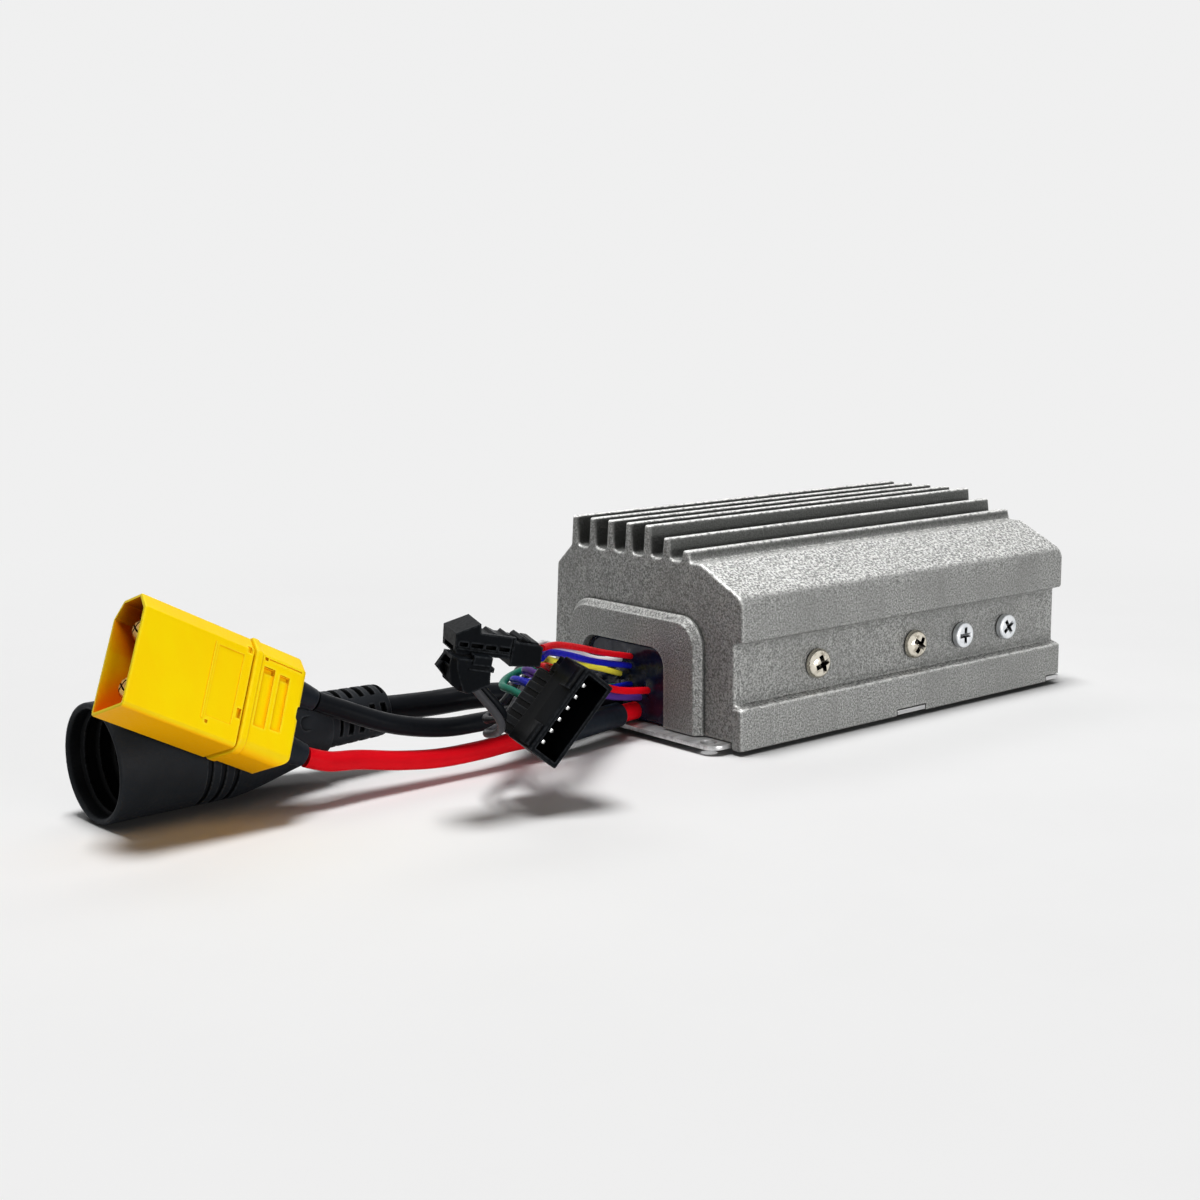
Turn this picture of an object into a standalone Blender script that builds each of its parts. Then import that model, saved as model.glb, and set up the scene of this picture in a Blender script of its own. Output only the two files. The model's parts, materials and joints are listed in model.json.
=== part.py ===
"""Electronic speed controller: finned die-cast housing with its battery, motor and signal leads.

X runs along the housing, with the cable end at -X. Y runs across it, with the screwed side at -Y.
Z is up, and the heads of the base plate's screws stand on z = 0. Sizes below are in millimetres.
"""
import math

import bmesh
import bpy
from mathutils import Matrix, Vector

MM = 0.001
FIT_GAP = 0.3
CUT_CLEAR = 4.0

# Housing, overall
HOUSING_LENGTH = 105.0
HOUSING_WIDTH = 61.5
RIM_Z = 0.9
DECK_Z = 38.0
EDGE_ROUND = 0.6
RIM_ROUND = 0.4

# Housing, near side
SLOPE_RUN = 12.25
SLOPE_FALL = 6.0
SLOPE_TOP_Y = -HOUSING_WIDTH / 2 + SLOPE_RUN
SLOPE_TOP_ROUND = 1.2
SHOULDER_Z = DECK_Z - SLOPE_FALL
SHOULDER_ROUND = 3.2
BAND_BOTTOM_Z = 23.3
FLANGE_TOP_Z = 9.6
STEP_RISE = 0.7
STEP_ROUND = 0.5
SIDE_RECESS = 2.4

# Housing, far side
FAR_DRAUGHT = 2.25
FAR_FALL = 4.4
FAR_TOP_Y = HOUSING_WIDTH / 2 - FAR_DRAUGHT
FAR_TOP_Z = DECK_Z - FAR_FALL
FAR_TOP_ROUND = 1.5

# Cooling fins
FIN_PITCH = 6.0
FIN_EDGE_GAPS = (6.3, 3.0)
FIRST_FIN_Y = FAR_TOP_Y - FIN_EDGE_GAPS[0]
FIN_COUNT = int((FIRST_FIN_Y - SLOPE_TOP_Y - FIN_EDGE_GAPS[1]) / FIN_PITCH) + 1
FIN_TOP_WIDTH = 1.5
FIN_FOOT_WIDTH = 2.7
FIN_HEIGHT = 6.5
FIN_STEP_DOWN = 2.1
LOW_FIN_COUNT = 2
FIN_TIP_ROUND = 0.45
GROOVE_ROUND = 0.7

# Cavity and cable tunnel
FRONT_WALL = 8.5
REAR_WALL = 6.5
NEAR_WALL = 5.55
FAR_WALL = 6.25
ROOF_THICKNESS = 6.0
CAVITY_FRONT_X = -HOUSING_LENGTH / 2 + FRONT_WALL
CAVITY_REAR_X = HOUSING_LENGTH / 2 - REAR_WALL
CAVITY_NEAR_Y = -HOUSING_WIDTH / 2 + NEAR_WALL
CAVITY_FAR_Y = HOUSING_WIDTH / 2 - FAR_WALL
CAVITY_ROOF_Z = DECK_Z - ROOF_THICKNESS
TUNNEL_NEAR_Y = -9.3
TUNNEL_FAR_Y = 17.4
TUNNEL_TOP_Z = 19.3
TUNNEL_ROUND = 4.0

# Raised boss round the cable tunnel
BOSS_NEAR_Y = -19.7
BOSS_FAR_Y = 22.8
BOSS_TOP_Z = 26.9
BOSS_RAISE = 2.1
BOSS_BEVEL = 1.1
BOSS_ROUND = 6.5

# Base plate
EAR_REACH = 5.0
RIM_WALL = 3.25
PLATE_LENGTH = HOUSING_LENGTH + 2 * EAR_REACH
PLATE_WIDTH = HOUSING_WIDTH - 2 * RIM_WALL
PLATE_THICKNESS = 1.0
PLATE_Z = 1.2
PLATE_CORNER = 3.0
EAR_HOLE_DIAMETER = 3.6
EAR_HOLE_INSET = 4.0
EAR_HOLE_X = (HOUSING_LENGTH + EAR_REACH) / 2
EAR_HOLE_Y = PLATE_WIDTH / 2 - EAR_HOLE_INSET
TAB_MIDDLE_X = (-5.2, 3.9)
TAB_REAR_LENGTH = 4.6
TAB_REAR_X = (HOUSING_LENGTH / 2 - FIT_GAP - TAB_REAR_LENGTH, HOUSING_LENGTH / 2 - FIT_GAP)

# Screws
SIDE_SCREW_Z = 15.8
SIDE_SCREW_XS = (-28.7, 2.2, 18.2, 33.7)
SIDE_SCREW_TURNS = (20.0, 55.0, 90.0, 125.0)
DOMED_SCREW_COUNT = 2
DOMED_HEAD = (6.0, 2.1)
FLAT_HEAD = (5.6, 1.5)
SCREW_SHANK = 2.8
SCREW_HOLE = SCREW_SHANK + 2 * FIT_GAP
CROSS_WIDTH = 0.8
CROSS_REACH = 3.2
CROSS_DEPTH = 0.7
PLATE_SCREW_INSET = (3.9, 6.5)
PLATE_SCREW_X = HOUSING_LENGTH / 2 - PLATE_SCREW_INSET[0]
PLATE_SCREW_Y = PLATE_WIDTH / 2 - PLATE_SCREW_INSET[1]
PLATE_SCREW_LENGTH = 8.0

# Circuit board and what it carries
BOARD_Z = 7.0
BOARD_THICKNESS = 1.6
BOARD_SIDE_GAPS = (2.7, 1.0)
BOARD_END_GAP = 1.5
BOARD_NEAR_Y = CAVITY_NEAR_Y + BOARD_SIDE_GAPS[0]
BOARD_FAR_Y = CAVITY_FAR_Y - BOARD_SIDE_GAPS[1]
PAD_THICKNESS = 0.5
PAD_LOW_Z = 9.5
PAD_HIGH_Z = 28.5
MOSFET_XS = (-37.3, -22.0, -11.0, 10.2, 26.0, 40.7)
MOSFET_WIDTH = 10.0
MOSFET_DEPTH = 4.4
MOSFET_LOW_Z = 12.0
MOSFET_HIGH_Z = 27.5
LEG_PITCH = 2.54
LEG_WIDTH = 0.9
LEG_THICKNESS = 0.6
CLAMP_DEPTH = 2.5
CLAMP_HEIGHT = 6.0
CLAMP_END_GAPS = (1.5, 0.6)
CLAMP_ENDS_X = (CAVITY_FRONT_X + CLAMP_END_GAPS[0], CAVITY_REAR_X - CLAMP_END_GAPS[1])
CAPACITOR_DIAMETER = 13.0
CAPACITOR_HEIGHT = 20.0
CAPACITOR_CRIMP = 2.5
CAPACITOR_XS = (-27.0, -11.0, 5.0)
CAPACITOR_Y = 12.0
CHIP_SIZE = 10.0
CHIP_HEIGHT = 1.4
CHIP_X = 28.0

# Potting in the cable tunnel
POTTING_PROUD = 0.7
POTTING_FRONT_X = -HOUSING_LENGTH / 2 - POTTING_PROUD

# Battery plug: local x from mouth to rear, y across its thickness, z across its width
PLUG_PLACE = (-171.33, -1.8, 33.27)
PLUG_TURN = (-22.3, 27.74, -2.57)
PLUG_WIDTH = 21.2
PLUG_THICKNESS = 10.6
PLUG_CHAMFER = (2.4, 3.0)
PLUG_BODY_LENGTH = 22.5
PLUG_COVER_LENGTH = 10.7
PLUG_WALL = 1.3
PLUG_MOUTH_DEPTH = 14.0
PLUG_PIN_SPACING = 10.8
PLUG_PIN_DIAMETER = 4.5
PLUG_PIN_START = 3.0
PLUG_PIN_ROOT = 4.0
RECESS_FROM_SEAM = (4.2, 1.6)
RECESS_MARGINS = (3.4, 4.4)
RECESS_DEPTH = 0.35
COVER_RIB_X = (0.4, 2.0)
COVER_RIB_MARGINS = (2.0, 3.6)
COVER_RIB_HEIGHT = 0.5
COVER_SLOT_COUNT = 2
COVER_SLOT_PITCH = 3.2
COVER_SLOT_WIDTH = 2.2
COVER_SLOT_MARGINS = (3.2, 5.6)
COVER_SLOT_DEPTH = 0.5
SHRINK_LENGTH = 6.0
SHRINK_DIAMETER = 5.4
SHRINK_ROOT = 2.6
LEAD_DIAMETER = 3.8

# Motor connector: local x from mouth to rear
MOTOR_PLACE = (-171.7, 11.2, 11.3)
MOTOR_TURN = (0.0, 0.0, 2.0)
MOTOR_RADIUS = 11.0
MOTOR_SIDES = 28
MOTOR_WALL = 1.6
MOTOR_BORE = MOTOR_RADIUS - MOTOR_WALL
MOTOR_BORE_DEPTH = 22.0
MOTOR_LIP = 0.5
MOTOR_LIP_XS = (3.0, 6.0, 9.0)
MOTOR_GROOVE_XS = (17.5, 20.3, 23.1)
MOTOR_GROOVE_DEPTH = 0.5
MOTOR_TAPER_X = 25.5
MOTOR_SHELL_LENGTH = 46.5
MOTOR_REAR_RADIUS = 7.0
INSERT_DEPTH = 15.5
PHASE_PIN_DIAMETER = 3.2
PHASE_PIN_LENGTH = 8.0
PHASE_PIN_CIRCLE = 4.6
PHASE_PIN_ROOT = 3.0
PHASE_PIN_COUNT = 3
RELIEF_LENGTH = 14.8
RELIEF_RADIUS = 5.6
RELIEF_END_RADIUS = 4.6
RELIEF_RIB_COUNT = 5
RELIEF_RIB_DEPTH = 0.9

# Signal plug: local x from its hood to its wires; the side outline is (x, z)
SIGNAL_PLUG_PLACE = (-123.4, -26.9, 32.6)
SIGNAL_PLUG_TURN = (6.0, 12.0, -15.5)
SIGNAL_PLUG_DEPTH = 7.0
SIGNAL_PLUG_OUTLINE = (
    (1.7, 2.7), (2.4, -1.0), (12.9, -1.0), (12.9, -2.1), (18.9, -1.5), (18.6, 2.1), (17.0, 2.9),
    (13.9, 3.4), (12.9, 3.7), (12.6, 3.1), (6.4, 3.1), (6.2, 4.9),
)
HOOD_MOUTH_LOW = (0.0, -2.4, 0.2)
HOOD_MOUTH_HIGH = (5.4, 2.4, 2.2)
WINDOW_COUNT = 4
WINDOW_START = 2.8
WINDOW_PITCH = 2.55
WINDOW_SIZE = (1.8, 0.9)
WINDOW_LOW_Z = 0.1
WINDOW_DEPTH = 0.7
LATCH_PIVOT_X = 9.65
LATCH_Z = 2.6
LATCH_REACH = 2.6
LATCH_HALF_WIDTH = 2.2
LATCH_CLEARANCE = (0.25, 0.4, 0.8)
LATCH_BAY_REACH = LATCH_REACH + LATCH_CLEARANCE[0]
LATCH_BAY_HALF = LATCH_HALF_WIDTH + LATCH_CLEARANCE[1]
LATCH_BAY_Z = LATCH_Z - LATCH_CLEARANCE[2]
LATCH_THICKNESS = 0.7
LATCH_RIDGE_XS = (-1.9, 0.2, 2.1)
LATCH_RIDGE_WIDTH = 0.9
LATCH_RIDGE_HEIGHT = 0.7

# Small signal plug: local x towards its wires; the side outline is (x, z)
SMALL_PLUG_PLACE = (-121.4, -29.6, 24.6)
SMALL_PLUG_TURN = (6.0, 52.0, -15.0)
SMALL_PLUG_DEPTH = 6.0
SMALL_PLUG_OUTLINE = (
    (-6.0, 2.6), (-4.3, 0.1), (0.4, 0.2), (1.9, 4.4), (1.8, 5.6), (0.1, 5.8), (-1.0, 6.4),
)
SMALL_MOUTH_LOW = (-7.0, -2.0, 0.9)
SMALL_MOUTH_HIGH = (-2.6, 2.0, 2.6)
SMALL_PANEL_LOW = (-2.9, 3.4)
SMALL_PANEL_HIGH = (-0.2, 4.8)
SMALL_PANEL_RAISE = 0.5

# Signal receptacle: local x from its wires to its mouth, y along the row of pins
RECEPTACLE_PLACE = (-100.3, -24.2, 18.9)
RECEPTACLE_TURN = (50.35, 5.6, -100.1)
RECEPTACLE_LENGTH = 15.0
RECEPTACLE_HEIGHT = 7.0
RECEPTACLE_WALL = 1.0
RECEPTACLE_MOUTH_DEPTH = 9.0
SIGNAL_PIN_COUNT = 6
SIGNAL_PITCH = 2.5
RECEPTACLE_END_GAP = 2.75
RECEPTACLE_WIDTH = (SIGNAL_PIN_COUNT - 1) * SIGNAL_PITCH + 2 * RECEPTACLE_END_GAP
SIGNAL_PIN_SIZE = 0.8
SIGNAL_PIN_LENGTH = 6.0
SIGNAL_PIN_ROOT = 1.7
REAR_STEP = (3.6, 5.0)
COLLAR_X = (0.6, 4.6)
COLLAR_PROUD = (0.5, 0.4)
CATCH_X = (7.2, 7.8, 11.0)
CATCH_RISE = 1.0
CATCH_HALF_WIDTH = 2.4

# Cords
MOTOR_CABLE_DIAMETER = 5.2
PLUG_WIRE_DIAMETER = 1.3
SIGNAL_WIRE_DIAMETER = 1.5
CORD_STEP = 4.0
SLEEVE_X = (-84.0, -57.9)
SLEEVE_WALL = 0.45

ROUND_SIDES = 16

# Cord routes from their connectors to the potting: diameter, colour, points
ROUTES = {
    "motor_cable": (MOTOR_CABLE_DIAMETER, "black", (
        (-109.7, 13.4, 11.3), (-104.5, 13.2, 11.0), (-98.0, 11.9, 11.0), (-89.3, 9.4, 11.5),
        (-80.0, 8.3, 10.6), (-70.0, 9.5, 8.4), (-61.0, 11.4, 6.8), (-53.9, 12.0, 6.2))),
    "battery_lead_red": (LEAD_DIAMETER, "red", (
        (-138.2, -5.3, 10.0), (-133.5, -5.5, 8.4), (-126.5, -5.0, 7.4), (-117.6, -5.0, 5.7),
        (-108.5, -5.0, 4.6), (-99.0, -5.0, 4.5), (-92.0, -4.9, 4.8), (-84.0, -5.1, 4.9),
        (-75.0, -4.6, 5.0), (-66.3, -3.0, 5.1), (-59.5, -1.2, 4.9), (-53.9, 0.4, 4.6))),
    "battery_lead_black": (LEAD_DIAMETER, "black", (
        (-133.5, -1.4, 19.1), (-128.4, -1.7, 16.8), (-118.2, -3.0, 12.6), (-107.6, -4.0, 10.3),
        (-98.8, -4.8, 10.1), (-91.0, -3.6, 9.9), (-83.0, -1.2, 9.4), (-75.0, 1.5, 8.6),
        (-67.0, 4.0, 7.6), (-60.0, 5.8, 6.8), (-53.8, 6.4, 6.2))),
    "plug_wire_red": (PLUG_WIRE_DIAMETER, "red", (
        (-105.3, -33.5, 29.9), (-98.0, -28.6, 28.8), (-85.0, -19.5, 25.2), (-70.0, -8.5, 20.6),
        (-53.8, 2.0, 16.1))),
    "plug_wire_blue": (PLUG_WIRE_DIAMETER, "blue", (
        (-105.3, -33.3, 28.0), (-101.5, -29.8, 27.9), (-97.5, -26.4, 27.0), (-88.0, -19.5, 24.2),
        (-72.0, -8.5, 19.0), (-53.8, 2.3, 14.0))),
    "plug_wire_yellow": (PLUG_WIRE_DIAMETER, "yellow", (
        (-104.5, -30.5, 28.0), (-101.2, -27.3, 26.3), (-96.5, -23.7, 25.2), (-86.0, -15.8, 21.6),
        (-72.0, -6.0, 17.8), (-53.8, 5.6, 11.8))),
    "plug_wire_white": (PLUG_WIRE_DIAMETER, "white", (
        (-104.4, -30.7, 29.8), (-100.3, -27.3, 29.2), (-94.3, -22.6, 27.3), (-80.0, -11.5, 22.5),
        (-66.0, -1.6, 17.7), (-53.8, 5.4, 15.0))),
    "receptacle_wire_red": (SIGNAL_WIRE_DIAMETER, "red", (
        (-97.1, -28.5, 23.3), (-96.4, -24.6, 23.4), (-95.2, -19.0, 23.3), (-92.5, -15.0, 22.9),
        (-86.0, -12.0, 20.3), (-75.0, -9.0, 15.5), (-64.0, -6.0, 11.5), (-53.6, -3.5, 9.5))),
    "receptacle_wire_purple": (SIGNAL_WIRE_DIAMETER, "purple", (
        (-97.9, -24.6, 21.8), (-96.9, -18.7, 22.3), (-94.5, -14.5, 21.2), (-87.0, -10.0, 18.0),
        (-75.0, -6.5, 13.4), (-64.0, -3.5, 9.8), (-53.6, -0.9, 7.6))),
    "receptacle_wire_blue": (SIGNAL_WIRE_DIAMETER, "blue", (
        (-99.5, -24.1, 19.9), (-98.4, -18.3, 20.4), (-96.0, -12.5, 19.4), (-88.0, -6.5, 16.8),
        (-80.0, -3.5, 15.2), (-72.0, -1.5, 12.8), (-63.0, 0.8, 10.5), (-53.6, 2.0, 9.9))),
    "receptacle_wire_green": (SIGNAL_WIRE_DIAMETER, "green", (
        (-101.0, -23.7, 18.0), (-100.0, -17.8, 18.6), (-98.0, -11.5, 18.4), (-91.0, -4.8, 18.2),
        (-82.0, 0.2, 17.5), (-73.0, 3.2, 13.6), (-63.0, 4.4, 10.2), (-53.6, 5.0, 9.0))),
    "small_plug_wire_grey": (SIGNAL_WIRE_DIAMETER, "grey", (
        (-118.8, -31.0, 24.4), (-114.2, -32.3, 18.0), (-111.6, -28.5, 14.6), (-109.9, -22.4, 12.9),
        (-103.0, -17.0, 12.3), (-95.5, -11.0, 13.4), (-88.0, -4.0, 14.6), (-82.5, 1.4, 16.0),
        (-76.0, 6.8, 14.4), (-66.0, 11.2, 11.8), (-53.6, 12.2, 10.0))),
    "small_plug_wire_black": (SIGNAL_WIRE_DIAMETER, "black", (
        (-117.2, -29.6, 25.0), (-112.6, -31.0, 18.9), (-110.4, -26.8, 16.4), (-108.6, -20.5, 15.1),
        (-102.0, -14.5, 14.7), (-95.0, -9.2, 15.4), (-88.0, -2.0, 16.0), (-82.5, 3.9, 16.9),
        (-76.0, 9.5, 15.2), (-66.0, 13.8, 12.2), (-53.6, 14.8, 10.0))),
}


def clear_scene():
    for old in list(bpy.data.objects):
        bpy.data.objects.remove(old, do_unlink=True)


def material(name, colour, roughness, metallic=0.0):
    made = bpy.data.materials.new(name)
    made.use_nodes = True
    shader = made.node_tree.nodes["Principled BSDF"]
    shader.inputs["Base Color"].default_value = (*colour, 1.0)
    shader.inputs["Roughness"].default_value = roughness
    shader.inputs["Metallic"].default_value = metallic
    made.diffuse_color = (*colour, 1.0)
    return made


def object_from(name, bm):
    """Turn a bmesh drawn in millimetres into an object in metres, with its faces pointing out."""
    bmesh.ops.remove_doubles(bm, verts=bm.verts, dist=1e-5)
    bmesh.ops.recalc_face_normals(bm, faces=bm.faces)
    bmesh.ops.scale(bm, vec=(MM, MM, MM), verts=bm.verts)
    mesh = bpy.data.meshes.new(name)
    bm.to_mesh(mesh)
    bm.free()
    made = bpy.data.objects.new(name, mesh)
    bpy.context.scene.collection.objects.link(made)
    return made


def combine(target, bm, operation):
    """Boolean a bmesh into an object, in the object's own frame."""
    tool = object_from("tool", bm)
    modifier = target.modifiers.new(operation, "BOOLEAN")
    modifier.operation = operation
    modifier.object = tool
    graph = bpy.context.evaluated_depsgraph_get()
    result = bpy.data.meshes.new_from_object(target.evaluated_get(graph))
    target.modifiers.clear()
    spent = target.data
    target.data = result
    bpy.data.meshes.remove(spent)
    bpy.data.objects.remove(tool, do_unlink=True)


def cut(target, *tools):
    for tool in tools:
        combine(target, tool, "DIFFERENCE")


def add(target, *tools):
    for tool in tools:
        combine(target, tool, "UNION")


def finish(made, look, parent=None, place=(0, 0, 0), turn=(0, 0, 0)):
    """Give an object its material, smooth shading and place."""
    made.data.materials.clear()
    made.data.materials.append(look)
    made.data.shade_smooth()
    made.data.set_sharp_from_angle(angle=math.radians(32))
    made.parent = parent
    made.location = Vector(place) * MM
    made.rotation_euler = [math.radians(a) for a in turn]
    return made


def frame(name, place, turn):
    made = bpy.data.objects.new(name, None)
    bpy.context.scene.collection.objects.link(made)
    made.location = Vector(place) * MM
    made.rotation_euler = [math.radians(a) for a in turn]
    return made


def offset_corners(corners, distance):
    """Move a closed outline's corners inwards, keeping the meaning of each corner's radius."""
    count = len(corners)
    area = sum(corners[i][0] * corners[(i + 1) % count][1] - corners[(i + 1) % count][0] * corners[i][1]
               for i in range(count))
    inward = 1.0 if area > 0 else -1.0
    moved = []
    for i, (u, v, radius) in enumerate(corners):
        before = Vector((u - corners[i - 1][0], v - corners[i - 1][1])).normalized()
        after = Vector((corners[(i + 1) % count][0] - u, corners[(i + 1) % count][1] - v)).normalized()
        normal_before = Vector((-before.y, before.x)) * inward
        normal_after = Vector((-after.y, after.x)) * inward
        mitre = (normal_before + normal_after) / (1.0 + normal_before.dot(normal_after))
        turn = (before.x * after.y - before.y * after.x) * inward
        kept = 0.0 if radius == 0 else max(radius - distance if turn > 0 else radius + distance, 0.08)
        moved.append((u + mitre.x * distance, v + mitre.y * distance, kept))
    return moved


def rounded(corners, steps=3):
    """Points of a closed outline whose corners (u, v, radius) are arcs."""
    points = []
    count = len(corners)
    for i, (u, v, radius) in enumerate(corners):
        corner = Vector((u, v))
        if radius == 0:
            points.append(corner)
            continue
        back = Vector(corners[i - 1][:2]) - corner
        ahead = Vector(corners[(i + 1) % count][:2]) - corner
        half = back.angle(ahead) / 2
        reach = min(radius / math.tan(half), 0.48 * back.length, 0.48 * ahead.length)
        arc = reach * math.tan(half)
        centre = corner + (back.normalized() + ahead.normalized()).normalized() * arc / math.sin(half)
        first = corner + back.normalized() * reach - centre
        last = corner + ahead.normalized() * reach - centre
        swing = first.angle_signed(last)
        for k in range(steps + 1):
            points.append(centre + Matrix.Rotation(-swing * k / steps, 2) @ first)
    return points


def loft(sections):
    """A closed body through equal rings of points (x, y, z)."""
    bm = bmesh.new()
    rings = [[bm.verts.new(point) for point in ring] for ring in sections]
    count = len(rings[0])
    for near, far in zip(rings, rings[1:]):
        for i in range(count):
            j = (i + 1) % count
            bm.faces.new((near[i], near[j], far[j], far[i]))
    ends = [bm.faces.new(rings[0]), bm.faces.new(list(reversed(rings[-1])))]
    bm.normal_update()
    bmesh.ops.triangulate(bm, faces=ends)
    return bm


def prism(corners, start, end, edge=0.0, steps=3):
    """An outline (y, z, radius) run along X, with its end edges rounded by edge."""
    if edge:
        stations = [(start, edge), (start + 0.3 * edge, 0.3 * edge), (start + edge, 0.0),
                    (end - edge, 0.0), (end - 0.3 * edge, 0.3 * edge), (end, edge)]
    else:
        stations = [(start, 0.0), (end, 0.0)]
    return loft([[(x, p.x, p.y) for p in rounded(offset_corners(corners, inset), steps)]
                 for x, inset in stations])


def box(low, high):
    bm = bmesh.new()
    bmesh.ops.create_cube(bm, size=1.0)
    size = Vector(high) - Vector(low)
    bmesh.ops.scale(bm, vec=size, verts=bm.verts)
    bmesh.ops.translate(bm, vec=(Vector(high) + Vector(low)) / 2, verts=bm.verts)
    return bm


def soft_box(low, high, edge):
    """A box with its long edges and ends rounded."""
    corners = [(low[1], low[2], edge), (high[1], low[2], edge),
               (high[1], high[2], edge), (low[1], high[2], edge)]
    return prism(corners, low[0], high[0], edge * 0.8, 2)


def slab(outline, low_y, high_y, edge=0.2):
    """A side outline (x, z) run across Y, with its edges softened."""
    corners = [(x, z, edge) for x, z in outline]
    stations = [(low_y, edge), (low_y + edge, 0.0), (high_y - edge, 0.0), (high_y, edge)]
    rings = [(y, rounded(offset_corners(corners, inset), 1)) for y, inset in stations]
    return loft([[(p.x, y, p.y) for p in ring] for y, ring in rings])


def lathe(profile, sides=ROUND_SIDES):
    """Turn a profile (x, radius), whose two ends lie on the X axis, into a closed body."""
    bm = bmesh.new()
    rings = []
    for x, radius in profile:
        if radius == 0:
            rings.append([bm.verts.new((x, 0, 0))])
            continue
        angles = [2 * math.pi * k / sides for k in range(sides)]
        rings.append([bm.verts.new((x, radius * math.cos(a), radius * math.sin(a))) for a in angles])
    for near, far in zip(rings, rings[1:]):
        for k in range(sides):
            quad = [near[k % len(near)], near[(k + 1) % len(near)],
                    far[(k + 1) % len(far)], far[k % len(far)]]
            corners = list(dict.fromkeys(quad))
            if len(corners) > 2:
                bm.faces.new(corners)
    return bm


def rod(start, end, radius, axis="X", across=(0.0, 0.0), sides=ROUND_SIDES):
    """A plain cylinder along a row axis; across gives its centre in the other two."""
    bm = lathe([(start, 0), (start, radius), (end, radius), (end, 0)], sides)
    if axis == "Y":
        bmesh.ops.rotate(bm, matrix=Matrix.Rotation(math.pi / 2, 3, "Z"), verts=bm.verts)
        bmesh.ops.translate(bm, vec=(across[0], 0, across[1]), verts=bm.verts)
    elif axis == "Z":
        bmesh.ops.rotate(bm, matrix=Matrix.Rotation(-math.pi / 2, 3, "Y"), verts=bm.verts)
        bmesh.ops.translate(bm, vec=(across[0], across[1], 0), verts=bm.verts)
    else:
        bmesh.ops.translate(bm, vec=(0, across[0], across[1]), verts=bm.verts)
    return bm


def housing_corners():
    near = -HOUSING_WIDTH / 2
    panel = near + SIDE_RECESS
    corners = [
        (near, RIM_Z, RIM_ROUND),
        (near, FLANGE_TOP_Z, STEP_ROUND),
        (panel, FLANGE_TOP_Z + STEP_RISE, STEP_ROUND),
        (panel, BAND_BOTTOM_Z - STEP_RISE, STEP_ROUND),
        (near, BAND_BOTTOM_Z, STEP_ROUND),
        (near, SHOULDER_Z, SHOULDER_ROUND),
        (SLOPE_TOP_Y, DECK_Z, SLOPE_TOP_ROUND),
    ]
    for i in reversed(range(FIN_COUNT)):
        middle = FIRST_FIN_Y - i * FIN_PITCH
        lowered = max(0, i - (FIN_COUNT - LOW_FIN_COUNT) + 1)
        top = DECK_Z + FIN_HEIGHT - FIN_STEP_DOWN * lowered
        corners.append((middle - FIN_FOOT_WIDTH / 2, DECK_Z, GROOVE_ROUND))
        corners.append((middle - FIN_TOP_WIDTH / 2, top, FIN_TIP_ROUND))
        corners.append((middle + FIN_TOP_WIDTH / 2, top, FIN_TIP_ROUND))
        corners.append((middle + FIN_FOOT_WIDTH / 2, DECK_Z, GROOVE_ROUND))
    corners.append((FAR_TOP_Y, FAR_TOP_Z, FAR_TOP_ROUND))
    corners.append((HOUSING_WIDTH / 2, RIM_Z, RIM_ROUND))
    return corners


def tunnel_corners(inset, floor_z):
    return [
        (TUNNEL_NEAR_Y + inset, floor_z, 0),
        (TUNNEL_NEAR_Y + inset, TUNNEL_TOP_Z - inset, TUNNEL_ROUND),
        (TUNNEL_FAR_Y - inset, TUNNEL_TOP_Z - inset, TUNNEL_ROUND),
        (TUNNEL_FAR_Y - inset, floor_z, 0),
    ]


def plate_top():
    return PLATE_Z + PLATE_THICKNESS


def build_housing(look):
    front = -HOUSING_LENGTH / 2
    below = RIM_Z - CUT_CLEAR
    made = object_from("finned_housing", prism(housing_corners(), front, -front, EDGE_ROUND))
    boss = [
        (BOSS_NEAR_Y, below, 0),
        (BOSS_NEAR_Y, BOSS_TOP_Z, BOSS_ROUND),
        (BOSS_FAR_Y, BOSS_TOP_Z, BOSS_ROUND),
        (BOSS_FAR_Y, below, 0),
    ]
    stations = [(front + 1.5, 0.0), (front - 0.4, 0.0), (front - 0.6 * BOSS_RAISE, 0.3 * BOSS_BEVEL),
                (front - 0.9 * BOSS_RAISE, 0.7 * BOSS_BEVEL), (front - BOSS_RAISE, BOSS_BEVEL)]
    rings = [(x, rounded(offset_corners(boss, inset), 8)) for x, inset in stations]
    add(made, loft([[(x, p.x, p.y) for p in ring] for x, ring in rings]))
    half_width = PLATE_WIDTH / 2 + FIT_GAP
    recess_top = plate_top() + FIT_GAP
    cut(made, box((-PLATE_LENGTH, -half_width, below - 1), (PLATE_LENGTH, half_width, recess_top)))
    for tab in (TAB_MIDDLE_X, TAB_REAR_X):
        low = (tab[0] - FIT_GAP, -HOUSING_WIDTH, below - 1)
        cut(made, box(low, (tab[1] + FIT_GAP, -half_width + 1, recess_top)))
    cut(made, box((CAVITY_FRONT_X, CAVITY_NEAR_Y, below), (CAVITY_REAR_X, CAVITY_FAR_Y, CAVITY_ROOF_Z)))
    cut(made, prism(tunnel_corners(0, below), front - 9, CAVITY_FRONT_X + 1, steps=6))
    for x in SIDE_SCREW_XS:
        cut(made, rod(-HOUSING_WIDTH, CAVITY_NEAR_Y + 1, SCREW_HOLE / 2, "Y", (x, SIDE_SCREW_Z), 16))
    hole_top = PLATE_SCREW_LENGTH + 1.5
    for x, y in plate_screw_places():
        cut(made, rod(below, hole_top, SCREW_HOLE / 2, "Z", (x, y), 16))
    return finish(made, look)


def plate_screw_places():
    return [(sx * PLATE_SCREW_X, sy * PLATE_SCREW_Y) for sx in (-1, 1) for sy in (-1, 1)]


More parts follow.
